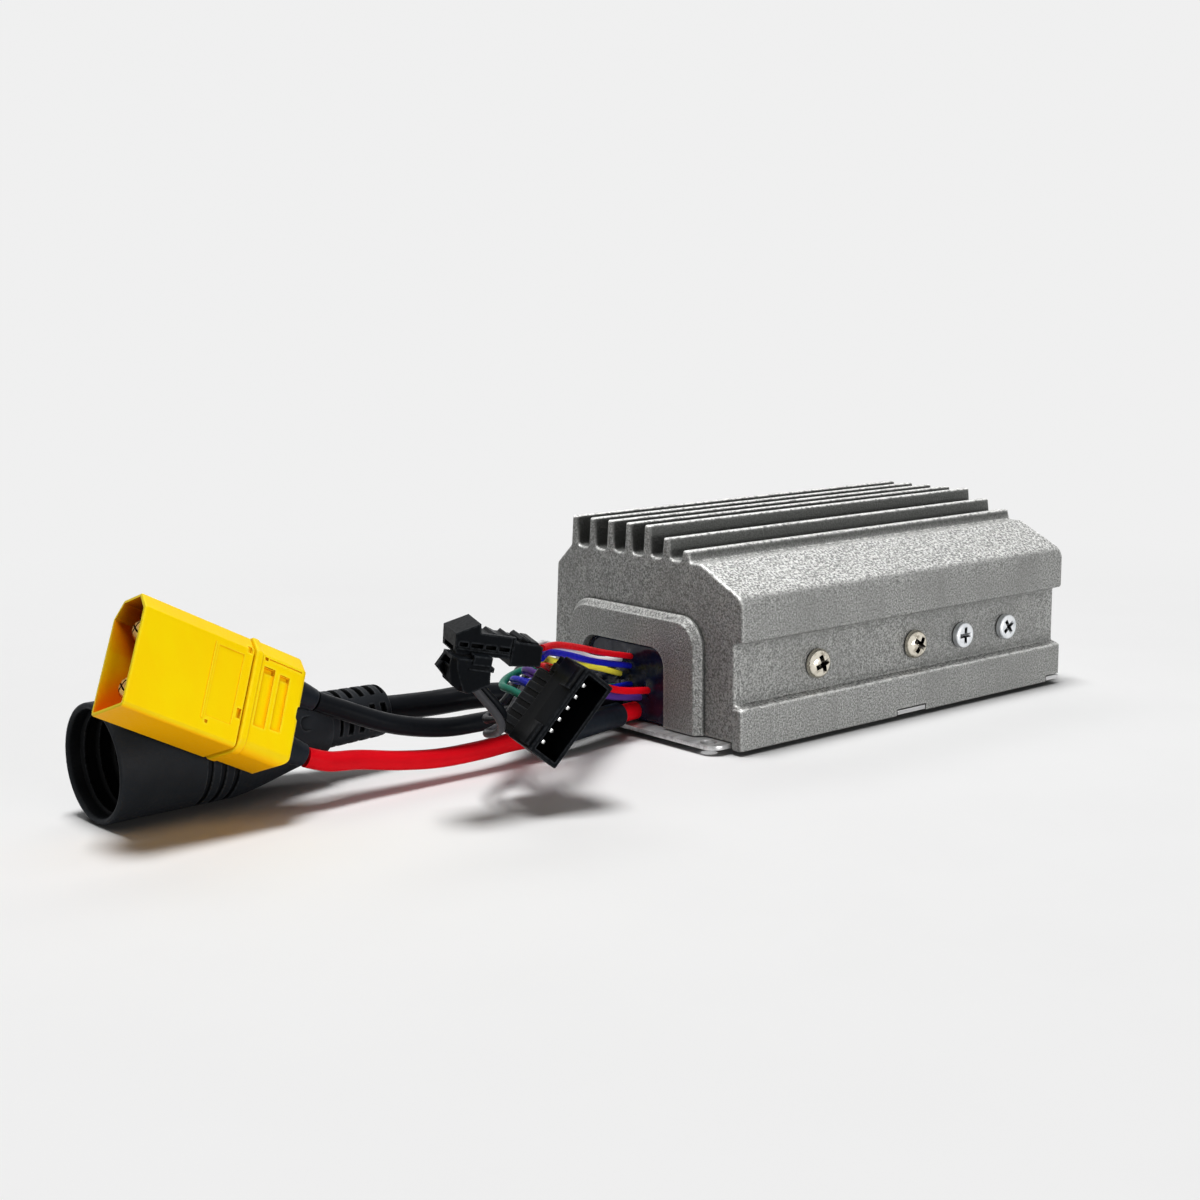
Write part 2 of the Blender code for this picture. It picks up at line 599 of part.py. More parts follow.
def build_base_plate(look):
    half = PLATE_LENGTH / 2
    side = PLATE_WIDTH / 2
    corners = [(-half, -side, PLATE_CORNER), (half, -side, PLATE_CORNER), (half, side, PLATE_CORNER),
               (-half, side, PLATE_CORNER)]
    ring = rounded(corners, 6)
    made = object_from("base_plate", loft([[(p.x, p.y, z) for p in ring] for z in (PLATE_Z, plate_top())]))
    for tab in (TAB_MIDDLE_X, TAB_REAR_X):
        add(made, box((tab[0], -HOUSING_WIDTH / 2, PLATE_Z), (tab[1], -side + 1, plate_top())))
    for sx in (-1, 1):
        for sy in (-1, 1):
            centre = (sx * EAR_HOLE_X, sy * EAR_HOLE_Y)
            cut(made, rod(0, PLATE_Z + 5, EAR_HOLE_DIAMETER / 2, "Z", centre))
    for centre in plate_screw_places():
        cut(made, rod(0, PLATE_Z + 5, SCREW_HOLE / 2, "Z", centre, 16))
    return finish(made, look)


def build_screw(name, head, shank_length, dome, look, place, turn):
    """A cross-recess screw: local +X points out of the head, whose underside is at x = 0."""
    radius = head[0] / 2
    height = head[1]
    if dome:
        crown = [(height * math.sin(a), radius * math.cos(a) ** 0.7)
                 for a in (0.0, 0.3, 0.6, 0.9, 1.15, 1.38)]
        profile = crown + [(height, 0)]
    else:
        profile = [(0, radius), (height - 0.35, radius), (height, radius - 0.35), (height, 0)]
    shank = SCREW_SHANK / 2
    stem = [(-shank_length, 0), (-shank_length, shank - 0.4), (-shank_length + 0.4, shank), (0, shank)]
    made = object_from(name, lathe(stem + profile))
    for across in ((CROSS_WIDTH, CROSS_REACH), (CROSS_REACH, CROSS_WIDTH)):
        low = (height - CROSS_DEPTH, -across[0] / 2, -across[1] / 2)
        cut(made, box(low, (height + 1, across[0] / 2, across[1] / 2)))
    return finish(made, look, None, place, turn)


def build_screws(bright, zinc):
    panel = -HOUSING_WIDTH / 2 + SIDE_RECESS
    clamp_far = clamp_near_y() + CLAMP_DEPTH
    reach = clamp_far - 0.5 - (panel - FIT_GAP)
    for i, x in enumerate(SIDE_SCREW_XS):
        domed = i < DOMED_SCREW_COUNT
        head = DOMED_HEAD if domed else FLAT_HEAD
        look = bright if domed else zinc
        place = (x, panel - FIT_GAP, SIDE_SCREW_Z)
        turn = (SIDE_SCREW_TURNS[i], 0, -90)
        build_screw(f"side_screw_{i + 1}", head, reach, domed, look, place, turn)
    under = (FLAT_HEAD[0], PLATE_Z - FIT_GAP)
    for i, (x, y) in enumerate(plate_screw_places()):
        place = (x, y, PLATE_Z - FIT_GAP)
        build_screw(f"plate_screw_{i + 1}", under, PLATE_SCREW_LENGTH, False, zinc, place, (0, 90, 0))


def pad_near_y():
    return CAVITY_NEAR_Y + FIT_GAP


def mosfet_near_y():
    return pad_near_y() + PAD_THICKNESS + FIT_GAP


def clamp_near_y():
    return mosfet_near_y() + MOSFET_DEPTH + FIT_GAP


def build_electronics(looks):
    board_top = BOARD_Z + BOARD_THICKNESS
    board_low = (CAVITY_FRONT_X + BOARD_END_GAP, BOARD_NEAR_Y, BOARD_Z)
    board_high = (CAVITY_REAR_X - BOARD_END_GAP, BOARD_FAR_Y, board_top)
    finish(object_from("circuit_board", box(board_low, board_high)), looks["board"])

    pad_low = (CAVITY_FRONT_X + 1, pad_near_y(), PAD_LOW_Z)
    pad_high = (CAVITY_REAR_X - FIT_GAP, pad_near_y() + PAD_THICKNESS, PAD_HIGH_Z)
    pad = object_from("thermal_pad", box(pad_low, pad_high))
    clamp_low = (CLAMP_ENDS_X[0], clamp_near_y(), SIDE_SCREW_Z - CLAMP_HEIGHT / 2)
    clamp_high = (CLAMP_ENDS_X[1], clamp_near_y() + CLAMP_DEPTH, SIDE_SCREW_Z + CLAMP_HEIGHT / 2)
    clamp = object_from("mosfet_clamp", box(clamp_low, clamp_high))
    for x in SIDE_SCREW_XS:
        for drilled in (pad, clamp):
            cut(drilled, rod(-HOUSING_WIDTH, 0, SCREW_HOLE / 2, "Y", (x, SIDE_SCREW_Z), 16))
    finish(pad, looks["pad"])
    finish(clamp, looks["clamp"])

    for i, x in enumerate(MOSFET_XS):
        half = MOSFET_WIDTH / 2
        near = mosfet_near_y()
        far = near + MOSFET_DEPTH
        package = box((x - half, near, MOSFET_LOW_Z), (x + half, far, MOSFET_HIGH_Z))
        made = object_from(f"mosfet_{i + 1}", package)
        leg_y = near + 0.6 * MOSFET_DEPTH
        for k in (-1, 0, 1):
            middle = x + k * LEG_PITCH
            low = (middle - LEG_WIDTH / 2, leg_y - LEG_THICKNESS / 2, board_top + FIT_GAP)
            high = (middle + LEG_WIDTH / 2, leg_y + LEG_THICKNESS / 2, MOSFET_LOW_Z + 0.5)
            add(made, box(low, high))
        finish(made, looks["mosfet"])

    foot = board_top + FIT_GAP
    for i, x in enumerate(CAPACITOR_XS):
        radius = CAPACITOR_DIAMETER / 2
        crimp = CAPACITOR_CRIMP
        profile = [(0, 0), (0, radius - 0.5), (0.5, radius), (crimp - 0.5, radius), (crimp, radius - 0.4),
                   (crimp + 0.5, radius), (CAPACITOR_HEIGHT - 0.6, radius),
                   (CAPACITOR_HEIGHT, radius - 0.6), (CAPACITOR_HEIGHT, 0)]
        made = object_from(f"capacitor_{i + 1}", lathe(profile))
        finish(made, looks["capacitor"], None, (x, CAPACITOR_Y, foot), (0, -90, 0))
    half = CHIP_SIZE / 2
    chip = soft_box((CHIP_X - half, -half, foot), (CHIP_X + half, half, foot + CHIP_HEIGHT), 0.2)
    finish(object_from("controller_chip", chip), looks["mosfet"])


def build_potting(look):
    floor_z = plate_top() + FIT_GAP
    body = prism(tunnel_corners(FIT_GAP, floor_z), POTTING_FRONT_X, CAVITY_FRONT_X - 0.5, steps=6)
    return finish(object_from("cable_potting", body), look)


def plug_corners(grow=0.0):
    side = PLUG_THICKNESS / 2 + grow
    half = PLUG_WIDTH / 2 + grow
    across, up = PLUG_CHAMFER
    return [
        (-side, -half, 0.8),
        (side, -half, 0.8),
        (side, half - up, 0.4),
        (side - across, half, 0.4),
        (-side + across, half, 0.4),
        (-side, half - up, 0.4),
    ]


def pin_places():
    return (PLUG_PIN_SPACING / 2, -PLUG_PIN_SPACING / 2)


def build_battery_plug(looks):
    place = frame("battery_plug", PLUG_PLACE, PLUG_TURN)
    body = object_from("battery_plug_body", prism(plug_corners(), 0, PLUG_BODY_LENGTH, 0.25))
    cut(body, prism(offset_corners(plug_corners(), PLUG_WALL), -1, PLUG_MOUTH_DEPTH))
    pin_end = PLUG_MOUTH_DEPTH + PLUG_PIN_ROOT
    for z in pin_places():
        hole = PLUG_PIN_DIAMETER / 2 + FIT_GAP
        cut(body, rod(PLUG_MOUTH_DEPTH - 1, pin_end + FIT_GAP, hole, "X", (0, z)))
    for side in (-1, 1):
        face = side * PLUG_THICKNESS / 2
        floor = face - side * RECESS_DEPTH
        rear, front = (PLUG_BODY_LENGTH - away for away in RECESS_FROM_SEAM)
        low = (rear, min(face, floor), -PLUG_WIDTH / 2 + RECESS_MARGINS[0])
        high = (front, max(face, floor), PLUG_WIDTH / 2 - RECESS_MARGINS[1])
        cut(body, box(low, high))
    finish(body, looks["yellow"], place)

    start = PLUG_BODY_LENGTH + FIT_GAP
    end = start + PLUG_COVER_LENGTH
    cover = object_from("battery_plug_cover", prism(plug_corners(), start, end, 0.4))
    rib_y = PLUG_THICKNESS / 2 + COVER_RIB_HEIGHT
    low_rib = (start + COVER_RIB_X[0], -rib_y, -PLUG_WIDTH / 2 + COVER_RIB_MARGINS[0])
    high_rib = (start + COVER_RIB_X[1], rib_y, PLUG_WIDTH / 2 - COVER_RIB_MARGINS[1])
    add(cover, soft_box(low_rib, high_rib, 0.3))
    sleeve = SHRINK_DIAMETER / 2 + FIT_GAP
    for z in pin_places():
        cut(cover, rod(end - SHRINK_ROOT - FIT_GAP, end + 1, sleeve, "X", (0, z)))
    for side in (-1, 1):
        face = side * PLUG_THICKNESS / 2
        floor = face - side * COVER_SLOT_DEPTH
        for k in range(COVER_SLOT_COUNT):
            left = start + COVER_SLOT_PITCH * (k + 1)
            low = (left, min(face, floor), -PLUG_WIDTH / 2 + COVER_SLOT_MARGINS[0])
            high = (left + COVER_SLOT_WIDTH, max(face, floor), PLUG_WIDTH / 2 - COVER_SLOT_MARGINS[1])
            cut(cover, box(low, high))
    finish(cover, looks["yellow"], place)

    radius = PLUG_PIN_DIAMETER / 2
    for name, z in zip(("upper", "lower"), pin_places()):
        profile = [(PLUG_PIN_START, 0), (PLUG_PIN_START, radius - 1.0), (PLUG_PIN_START + 1.0, radius - 0.1),
                   (PLUG_MOUTH_DEPTH - 1.0, radius), (pin_end, radius), (pin_end, 0)]
        pin = object_from(f"battery_pin_{name}", lathe(profile, 20))
        finish(pin, looks["gold"], place, (0, 0, z))
        tip = end + SHRINK_LENGTH
        wide = SHRINK_DIAMETER / 2
        tight = LEAD_DIAMETER / 2 + 0.2
        root = end - SHRINK_ROOT
        profile = [(root, 0), (root, wide), (end + 0.5 * SHRINK_LENGTH, wide),
                   (tip - 0.8, tight + 0.15), (tip, tight), (tip, 0)]
        shrink = object_from(f"heat_shrink_{name}", lathe(profile, 20))
        finish(shrink, looks["shrink"], place, (0, 0, z))


def build_motor_connector(looks):
    place = frame("motor_connector", MOTOR_PLACE, MOTOR_TURN)
    rim = MOTOR_RADIUS
    profile = [(MOTOR_BORE_DEPTH, 0), (MOTOR_BORE_DEPTH, MOTOR_BORE)]
    for x in reversed(MOTOR_LIP_XS):
        profile += [(x + 0.7, MOTOR_BORE), (x + 0.2, MOTOR_BORE - MOTOR_LIP), (x - 0.5, MOTOR_BORE)]
    profile += [(0.6, MOTOR_BORE), (0.0, MOTOR_BORE + 0.5), (0.0, rim - 0.6), (0.25, rim - 0.15), (0.8, rim)]
    for x in MOTOR_GROOVE_XS:
        profile += [(x - 0.6, rim), (x - 0.4, rim - MOTOR_GROOVE_DEPTH), (x + 0.4, rim - MOTOR_GROOVE_DEPTH),
                    (x + 0.6, rim)]
    taper_steps = 6
    for k in range(taper_steps + 1):
        share = k / taper_steps
        x = MOTOR_TAPER_X + share * (MOTOR_SHELL_LENGTH - MOTOR_TAPER_X)
        ease = (share + share * share * (3 - 2 * share)) / 2
        profile.append((x, rim + (MOTOR_REAR_RADIUS - rim) * ease))
    profile += [(MOTOR_SHELL_LENGTH, 0)]
    finish(object_from("motor_connector_shell", lathe(profile, MOTOR_SIDES)), looks["rubber"], place)

    seat = MOTOR_BORE_DEPTH - FIT_GAP
    radius = MOTOR_BORE - FIT_GAP
    profile = [(INSERT_DEPTH, 0), (INSERT_DEPTH, radius - 0.4), (INSERT_DEPTH + 0.4, radius),
               (seat, radius), (seat, 0)]
    insert = object_from("motor_connector_insert", lathe(profile, MOTOR_SIDES))
    root = INSERT_DEPTH + PHASE_PIN_ROOT
    for k in range(PHASE_PIN_COUNT):
        angle = math.pi / 2 + 2 * math.pi * k / PHASE_PIN_COUNT
        across = (PHASE_PIN_CIRCLE * math.cos(angle), PHASE_PIN_CIRCLE * math.sin(angle))
        pin_radius = PHASE_PIN_DIAMETER / 2
        cut(insert, rod(INSERT_DEPTH - 1, root, pin_radius + FIT_GAP, "X", across, 16))
        tip = INSERT_DEPTH - PHASE_PIN_LENGTH
        profile = [(tip, 0), (tip, pin_radius - 0.6), (tip + 0.8, pin_radius),
                   (root - FIT_GAP, pin_radius), (root - FIT_GAP, 0)]
        pin = object_from(f"motor_pin_{k + 1}", lathe(profile))
        finish(pin, looks["gold"], place, (0, *across))
    finish(insert, looks["rubber"], place)

    start = MOTOR_SHELL_LENGTH + FIT_GAP
    profile = [(start, 0), (start, RELIEF_RADIUS)]
    pitch = RELIEF_LENGTH / (RELIEF_RIB_COUNT + 1)
    for k in range(RELIEF_RIB_COUNT):
        x = start + (k + 0.75) * pitch
        outer = RELIEF_RADIUS + (RELIEF_END_RADIUS - RELIEF_RADIUS) * (k + 0.75) / RELIEF_RIB_COUNT
        profile += [(x, outer), (x + 0.15, outer - RELIEF_RIB_DEPTH), (x + 0.95, outer - RELIEF_RIB_DEPTH),
                    (x + 1.1, outer)]
    end = start + RELIEF_LENGTH
    profile += [(end - 0.4, RELIEF_END_RADIUS), (end, RELIEF_END_RADIUS - 0.4), (end, 0)]
    finish(object_from("motor_strain_relief", lathe(profile)), looks["rubber"], place)


def build_signal_plug(looks):
    place = frame("signal_plug", SIGNAL_PLUG_PLACE, SIGNAL_PLUG_TURN)
    side = SIGNAL_PLUG_DEPTH / 2
    body = object_from("signal_plug_housing", slab(SIGNAL_PLUG_OUTLINE, -side, side))
    cut(body, box(HOOD_MOUTH_LOW, HOOD_MOUTH_HIGH))
    for k in range(WINDOW_COUNT):
        left = WINDOW_START + k * WINDOW_PITCH
        high = (left + WINDOW_SIZE[0], -side + WINDOW_DEPTH, WINDOW_LOW_Z + WINDOW_SIZE[1])
        cut(body, box((left, -side - 1, WINDOW_LOW_Z), high))
    bay_low = (LATCH_PIVOT_X - LATCH_BAY_REACH, -LATCH_BAY_HALF, LATCH_BAY_Z)
    cut(body, box(bay_low, (LATCH_PIVOT_X + LATCH_BAY_REACH, LATCH_BAY_HALF, LATCH_Z + 3)))
    rib_low = (LATCH_PIVOT_X - 0.5, -LATCH_HALF_WIDTH, LATCH_BAY_Z - 0.5)
    add(body, box(rib_low, (LATCH_PIVOT_X + 0.5, LATCH_HALF_WIDTH, LATCH_Z - FIT_GAP)))
    finish(body, looks["signal"], place)

    low = (-LATCH_REACH, -LATCH_HALF_WIDTH, 0)
    latch = object_from("signal_plug_latch", box(low, (LATCH_REACH, LATCH_HALF_WIDTH, LATCH_THICKNESS)))
    for x in LATCH_RIDGE_XS:
        left = x - LATCH_RIDGE_WIDTH / 2
        ridge_top = LATCH_THICKNESS + LATCH_RIDGE_HEIGHT
        low = (left, -LATCH_HALF_WIDTH + 0.2, LATCH_THICKNESS - 0.3)
        add(latch, box(low, (left + LATCH_RIDGE_WIDTH, LATCH_HALF_WIDTH - 0.2, ridge_top)))
    finish(latch, looks["signal"], place, (LATCH_PIVOT_X, 0, LATCH_Z))


def build_small_plug(looks):
    place = frame("small_signal_plug", SMALL_PLUG_PLACE, SMALL_PLUG_TURN)
    side = SMALL_PLUG_DEPTH / 2
    body = object_from("small_plug_housing", slab(SMALL_PLUG_OUTLINE, -side, side))
    cut(body, box(SMALL_MOUTH_LOW, SMALL_MOUTH_HIGH))
    low = (SMALL_PANEL_LOW[0], -side - SMALL_PANEL_RAISE, SMALL_PANEL_LOW[1])
    add(body, box(low, (SMALL_PANEL_HIGH[0], 0, SMALL_PANEL_HIGH[1])))
    finish(body, looks["signal"], place)


def build_receptacle(looks):
    place = frame("signal_receptacle", RECEPTACLE_PLACE, RECEPTACLE_TURN)
    side = RECEPTACLE_WIDTH / 2
    half = RECEPTACLE_HEIGHT / 2
    length = RECEPTACLE_LENGTH
    body = object_from("receptacle_housing", soft_box((0, -side, -half), (length, side, half), 0.3))
    collar_y = side + COLLAR_PROUD[0]
    collar_z = half + COLLAR_PROUD[1]
    collar_low = (COLLAR_X[0], -collar_y, -collar_z)
    add(body, soft_box(collar_low, (COLLAR_X[1], collar_y, collar_z), 0.3))
    floor_x = length - RECEPTACLE_MOUTH_DEPTH
    wall = RECEPTACLE_WALL
    cut(body, box((floor_x, -side + wall, -half + wall), (length + 1, side - wall, half - wall)))
    heel, crest, toe = CATCH_X
    catch_top = half + CATCH_RISE
    catch = [(heel, half - 0.5), (heel, catch_top), (crest, catch_top), (toe, half - 0.5)]
    add(body, loft([[(x, y, z) for x, z in catch] for y in (-CATCH_HALF_WIDTH, CATCH_HALF_WIDTH)]))
    cut(body, box((-1, REAR_STEP[1], -length), (REAR_STEP[0], RECEPTACLE_WIDTH, length)))
    pin = SIGNAL_PIN_SIZE / 2
    for k in range(SIGNAL_PIN_COUNT):
        y = (k - (SIGNAL_PIN_COUNT - 1) / 2) * SIGNAL_PITCH
        hole = pin + FIT_GAP
        root = floor_x - SIGNAL_PIN_ROOT
        cut(body, box((root - FIT_GAP, y - hole, -hole), (floor_x + 1, y + hole, hole)))
        blade = box((root, y - pin, -pin), (floor_x + SIGNAL_PIN_LENGTH, y + pin, pin))
        finish(object_from(f"signal_pin_{k + 1}", blade), looks["tin"], place)
    finish(body, looks["signal"], place)


def smooth_route(points, spacing):
    """Evenly spaced points on a smooth curve through the route's own points."""
    knots = [Vector(p) for p in points]
    knots = [2 * knots[0] - knots[1]] + knots + [2 * knots[-1] - knots[-2]]
    fine = []
    for a, b, c, d in zip(knots, knots[1:], knots[2:], knots[3:]):
        for k in range(24):
            t = k / 24
            fine.append(0.5 * (2 * b + (c - a) * t + (2 * a - 5 * b + 4 * c - d) * t ** 2
                               + (3 * b - a - 3 * c + d) * t ** 3))
    fine.append(knots[-2])
    steps = [(q - p).length for p, q in zip(fine, fine[1:])]
    total = sum(steps)
    count = max(8, round(total / spacing))
    route = [fine[0]]
    travelled = 0.0
    for p, q, step in zip(fine, fine[1:], steps):
        while len(route) < count and travelled + step >= total * len(route) / count:
            route.append(p.lerp(q, (total * len(route) / count - travelled) / step))
        travelled += step
    route.append(fine[-1])
    return route


def stretch_between(route, low_x, high_x):
    """The part of a route that lies between two X positions."""
    ends = []
    for p, q in zip(route, route[1:]):
        for x in (low_x, high_x):
            if p.x <= x < q.x:
                ends.append(p.lerp(q, (x - p.x) / (q.x - p.x)))
    inside = [p for p in route if low_x < p.x < high_x]
    return [ends[0], *inside, ends[1]]


def build_sleeve(look):
    """A thin sleeve round the end of the red battery lead."""
    diameter, _, points = ROUTES["battery_lead_red"]
    route = stretch_between(smooth_route(points, max(CORD_STEP, diameter)), *SLEEVE_X)
    last = len(route) - 1
    inner = diameter / 2 + FIT_GAP
    stations = [(i, inner + SLEEVE_WALL) for i in range(last + 1)]
    stations += [(i, inner) for i in reversed(range(last + 1))]
    bm = bmesh.new()
    rings = []
    for i, radius in stations:
        along = (route[min(i + 1, last)] - route[max(i - 1, 0)]).normalized()
        across = along.cross(Vector((0, 0, 1))).normalized()
        rise = across.cross(along)
        angles = [2 * math.pi * k / ROUND_SIDES for k in range(ROUND_SIDES)]
        rings.append([bm.verts.new(route[i] + radius * (math.cos(a) * across + math.sin(a) * rise))
                      for a in angles])
    for near, far in zip(rings, rings[1:] + rings[:1]):
        for k in range(ROUND_SIDES):
            j = (k + 1) % ROUND_SIDES
            bm.faces.new((near[k], near[j], far[j], far[k]))
    return finish(object_from("battery_lead_sleeve", bm), look)


def build_cord(name, points, diameter, look):
    curve = bpy.data.curves.new(name, "CURVE")
    curve.dimensions = "3D"
    curve.bevel_depth = diameter / 2 * MM
    curve.bevel_resolution = 2
    curve.use_fill_caps = True
    route = smooth_route(points, max(CORD_STEP, diameter))
    spline = curve.splines.new("POLY")
    spline.points.add(len(route) - 1)
    for spot, point in zip(spline.points, route):
        spot.co = (*(point * MM), 1.0)
    curve.materials.append(look)
    made = bpy.data.objects.new(name, curve)
    bpy.context.scene.collection.objects.link(made)
    return made


def main():
    clear_scene()
    looks = {
        "cast": material("cast_aluminium", (0.42, 0.42, 0.41), 0.5, 0.9),
        "plate": material("plate_aluminium", (0.55, 0.55, 0.55), 0.35, 1.0),
        "nickel": material("bright_nickel", (0.78, 0.75, 0.68), 0.2, 1.0),
        "zinc": material("white_zinc", (0.8, 0.82, 0.84), 0.35, 1.0),
        "potting": material("potting_resin", (0.012, 0.016, 0.04), 0.15),
        "board": material("circuit_board", (0.03, 0.2, 0.08), 0.5),
        "pad": material("thermal_pad", (0.55, 0.62, 0.7), 0.8),
        "clamp": material("clamp_steel", (0.5, 0.5, 0.5), 0.4, 1.0),
        "mosfet": material("package_epoxy", (0.02, 0.02, 0.02), 0.5),
        "capacitor": material("capacitor_sleeve", (0.03, 0.04, 0.1), 0.35),
        "yellow": material("plug_yellow", (0.95, 0.66, 0.01), 0.35),
        "gold": material("gold_plate", (0.85, 0.6, 0.2), 0.25, 1.0),
        "tin": material("tin_plate", (0.8, 0.8, 0.8), 0.3, 1.0),
        "shrink": material("heat_shrink", (0.012, 0.013, 0.015), 0.45),
        "rubber": material("connector_rubber", (0.018, 0.022, 0.026), 0.6),
        "signal": material("signal_plastic", (0.012, 0.014, 0.017), 0.4),
    }
    wire_colours = {
        "red": (0.72, 0.01, 0.015), "black": (0.012, 0.012, 0.014), "blue": (0.01, 0.015, 0.4),
        "yellow": (0.8, 0.72, 0.06), "white": (0.8, 0.8, 0.8), "purple": (0.08, 0.03, 0.22),
        "green": (0.01, 0.15, 0.1), "grey": (0.06, 0.06, 0.065),
    }
    for colour, value in wire_colours.items():
        looks[f"wire_{colour}"] = material(f"insulation_{colour}", value, 0.4)
    build_housing(looks["cast"])
    build_base_plate(looks["plate"])
    build_screws(looks["nickel"], looks["zinc"])
    build_electronics(looks)
    build_potting(looks["potting"])
    build_battery_plug(looks)
    build_motor_connector(looks)
    build_signal_plug(looks)
    build_small_plug(looks)
    build_receptacle(looks)
    for name, (diameter, colour, points) in ROUTES.items():
        build_cord(name, points, diameter, looks[f"wire_{colour}"])
    build_sleeve(looks["shrink"])


main()
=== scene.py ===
"""Looks of the electronic speed controller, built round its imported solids.

Shapes are drawn in millimetres, in the part's own frame, and turned into metres when a piece is made.
"""
import json
import math

import bmesh
import bpy
from mathutils import Euler, Matrix, Vector, noise

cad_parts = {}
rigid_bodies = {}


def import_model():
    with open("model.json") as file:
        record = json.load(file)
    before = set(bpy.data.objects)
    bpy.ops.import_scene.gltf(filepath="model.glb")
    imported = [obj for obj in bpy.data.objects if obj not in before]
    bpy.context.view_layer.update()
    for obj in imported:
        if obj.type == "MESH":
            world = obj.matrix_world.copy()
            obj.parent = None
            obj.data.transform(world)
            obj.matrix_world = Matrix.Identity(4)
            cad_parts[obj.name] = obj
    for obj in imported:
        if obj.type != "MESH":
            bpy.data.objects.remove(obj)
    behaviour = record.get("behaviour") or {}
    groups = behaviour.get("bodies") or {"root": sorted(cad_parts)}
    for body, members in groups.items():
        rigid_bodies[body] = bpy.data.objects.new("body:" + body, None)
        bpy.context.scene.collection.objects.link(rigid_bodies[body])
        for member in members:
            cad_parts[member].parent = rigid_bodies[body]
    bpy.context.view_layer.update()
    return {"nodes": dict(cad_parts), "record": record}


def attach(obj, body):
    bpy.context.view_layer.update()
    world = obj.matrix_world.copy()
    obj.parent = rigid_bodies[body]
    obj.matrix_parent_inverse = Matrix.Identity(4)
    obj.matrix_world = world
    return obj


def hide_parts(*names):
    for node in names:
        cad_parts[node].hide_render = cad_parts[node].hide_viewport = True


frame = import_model()
SLOTS = {row["node"]: row["material_slot"] for row in frame["record"]["subparts"]}
SCENE = bpy.context.scene
MM = 0.001
GAP = 0.3
SLIVER = 0.0000005

# Camera, solved from the housing's edges in the photograph
CAMERA_PLACE = (-0.30073, -0.28564, 0.09272)
CAMERA_AZIMUTH = -39.67
CAMERA_ELEVATION = 9.64
CAMERA_ROLL = -0.56
CAMERA_LENS = 54.25

# Light and background
BACKGROUND = (0.87, 0.87, 0.87, 1.0)
AMBIENT = 0.05
KEY_PLACE = (-0.15, 0.06, 1.6)
KEY_SIZE = (0.5, 0.5)
KEY_POWER = 20.5
FILL_PLACE = (-0.05, -1.7, 0.12)
FILL_SIZE = (0.9, 0.25)
FILL_POWER = 15.4
RIM_PLACE = (0.5, 1.15, 1.3)
RIM_SIZE = (1.7, 0.4)
RIM_POWER = 4.8
FLOOR_WHITE = (0.93, 0.93, 0.93, 1.0)
FLOOR_BOUNCE = (0.8, 0.8, 0.8, 1.0)

# Housing
LENGTH = 105.0
WIDTH = 61.5
RIM_Z = 0.9
DECK_Z = 38.0
SLOPE_TOP_Y = -18.5
SHOULDER_Z = 32.0
BAND_BOTTOM_Z = 23.3
FLANGE_TOP_Z = 9.6
SIDE_RECESS = 2.4
FAR_TOP = (28.5, 33.6)
FIN_COUNT = 7
FIN_PITCH = 6.0
FIRST_FIN_Y = 22.2
FIN_HEIGHT = 6.5
FIN_STEP_DOWN = 2.1
CAVITY_LOW = (-44.0, -25.2, -3.0)
CAVITY_HIGH = (46.0, 24.5, 32.0)
TUNNEL = (-9.3, 17.4, 19.3)
TUNNEL_ROUND = 4.0
BOSS = (-19.7, 22.8, 26.9)
BOSS_ROUND = 6.5
BOSS_RAISE = 2.1
PLATE_HALF = (57.5, 27.5)
PLATE_Z = (1.2, 2.2)
EAR_HOLES = (55.0, 23.5, 1.8)
TABS = ((-5.2, 3.9), (47.6, 52.2))
PANEL_Y = -28.35
SCREW_Z = 15.8
SCREW_XS = (-28.7, 2.2, 18.2, 33.7)
SCREW_TURNS = (20.0, 55.0, 90.0, 125.0)
PLATE_SCREWS = (48.6, 21.0)
POTTING_X = -53.2

# Connectors: place and turn of each local frame
PLUG_FRAME = ((-171.33, -1.8, 33.27), (-22.3, 27.74, -2.57))
MOTOR_FRAME = ((-171.7, 11.2, 11.3), (0.0, 0.0, 2.0))
SIGNAL_FRAME = ((-123.4, -26.9, 32.6), (6.0, 12.0, -15.5))
SMALL_FRAME = ((-121.4, -29.6, 24.6), (6.0, 52.0, -15.0))
RECEPTACLE_FRAME = ((-100.3, -24.2, 18.9), (50.35, 5.6, -100.1))

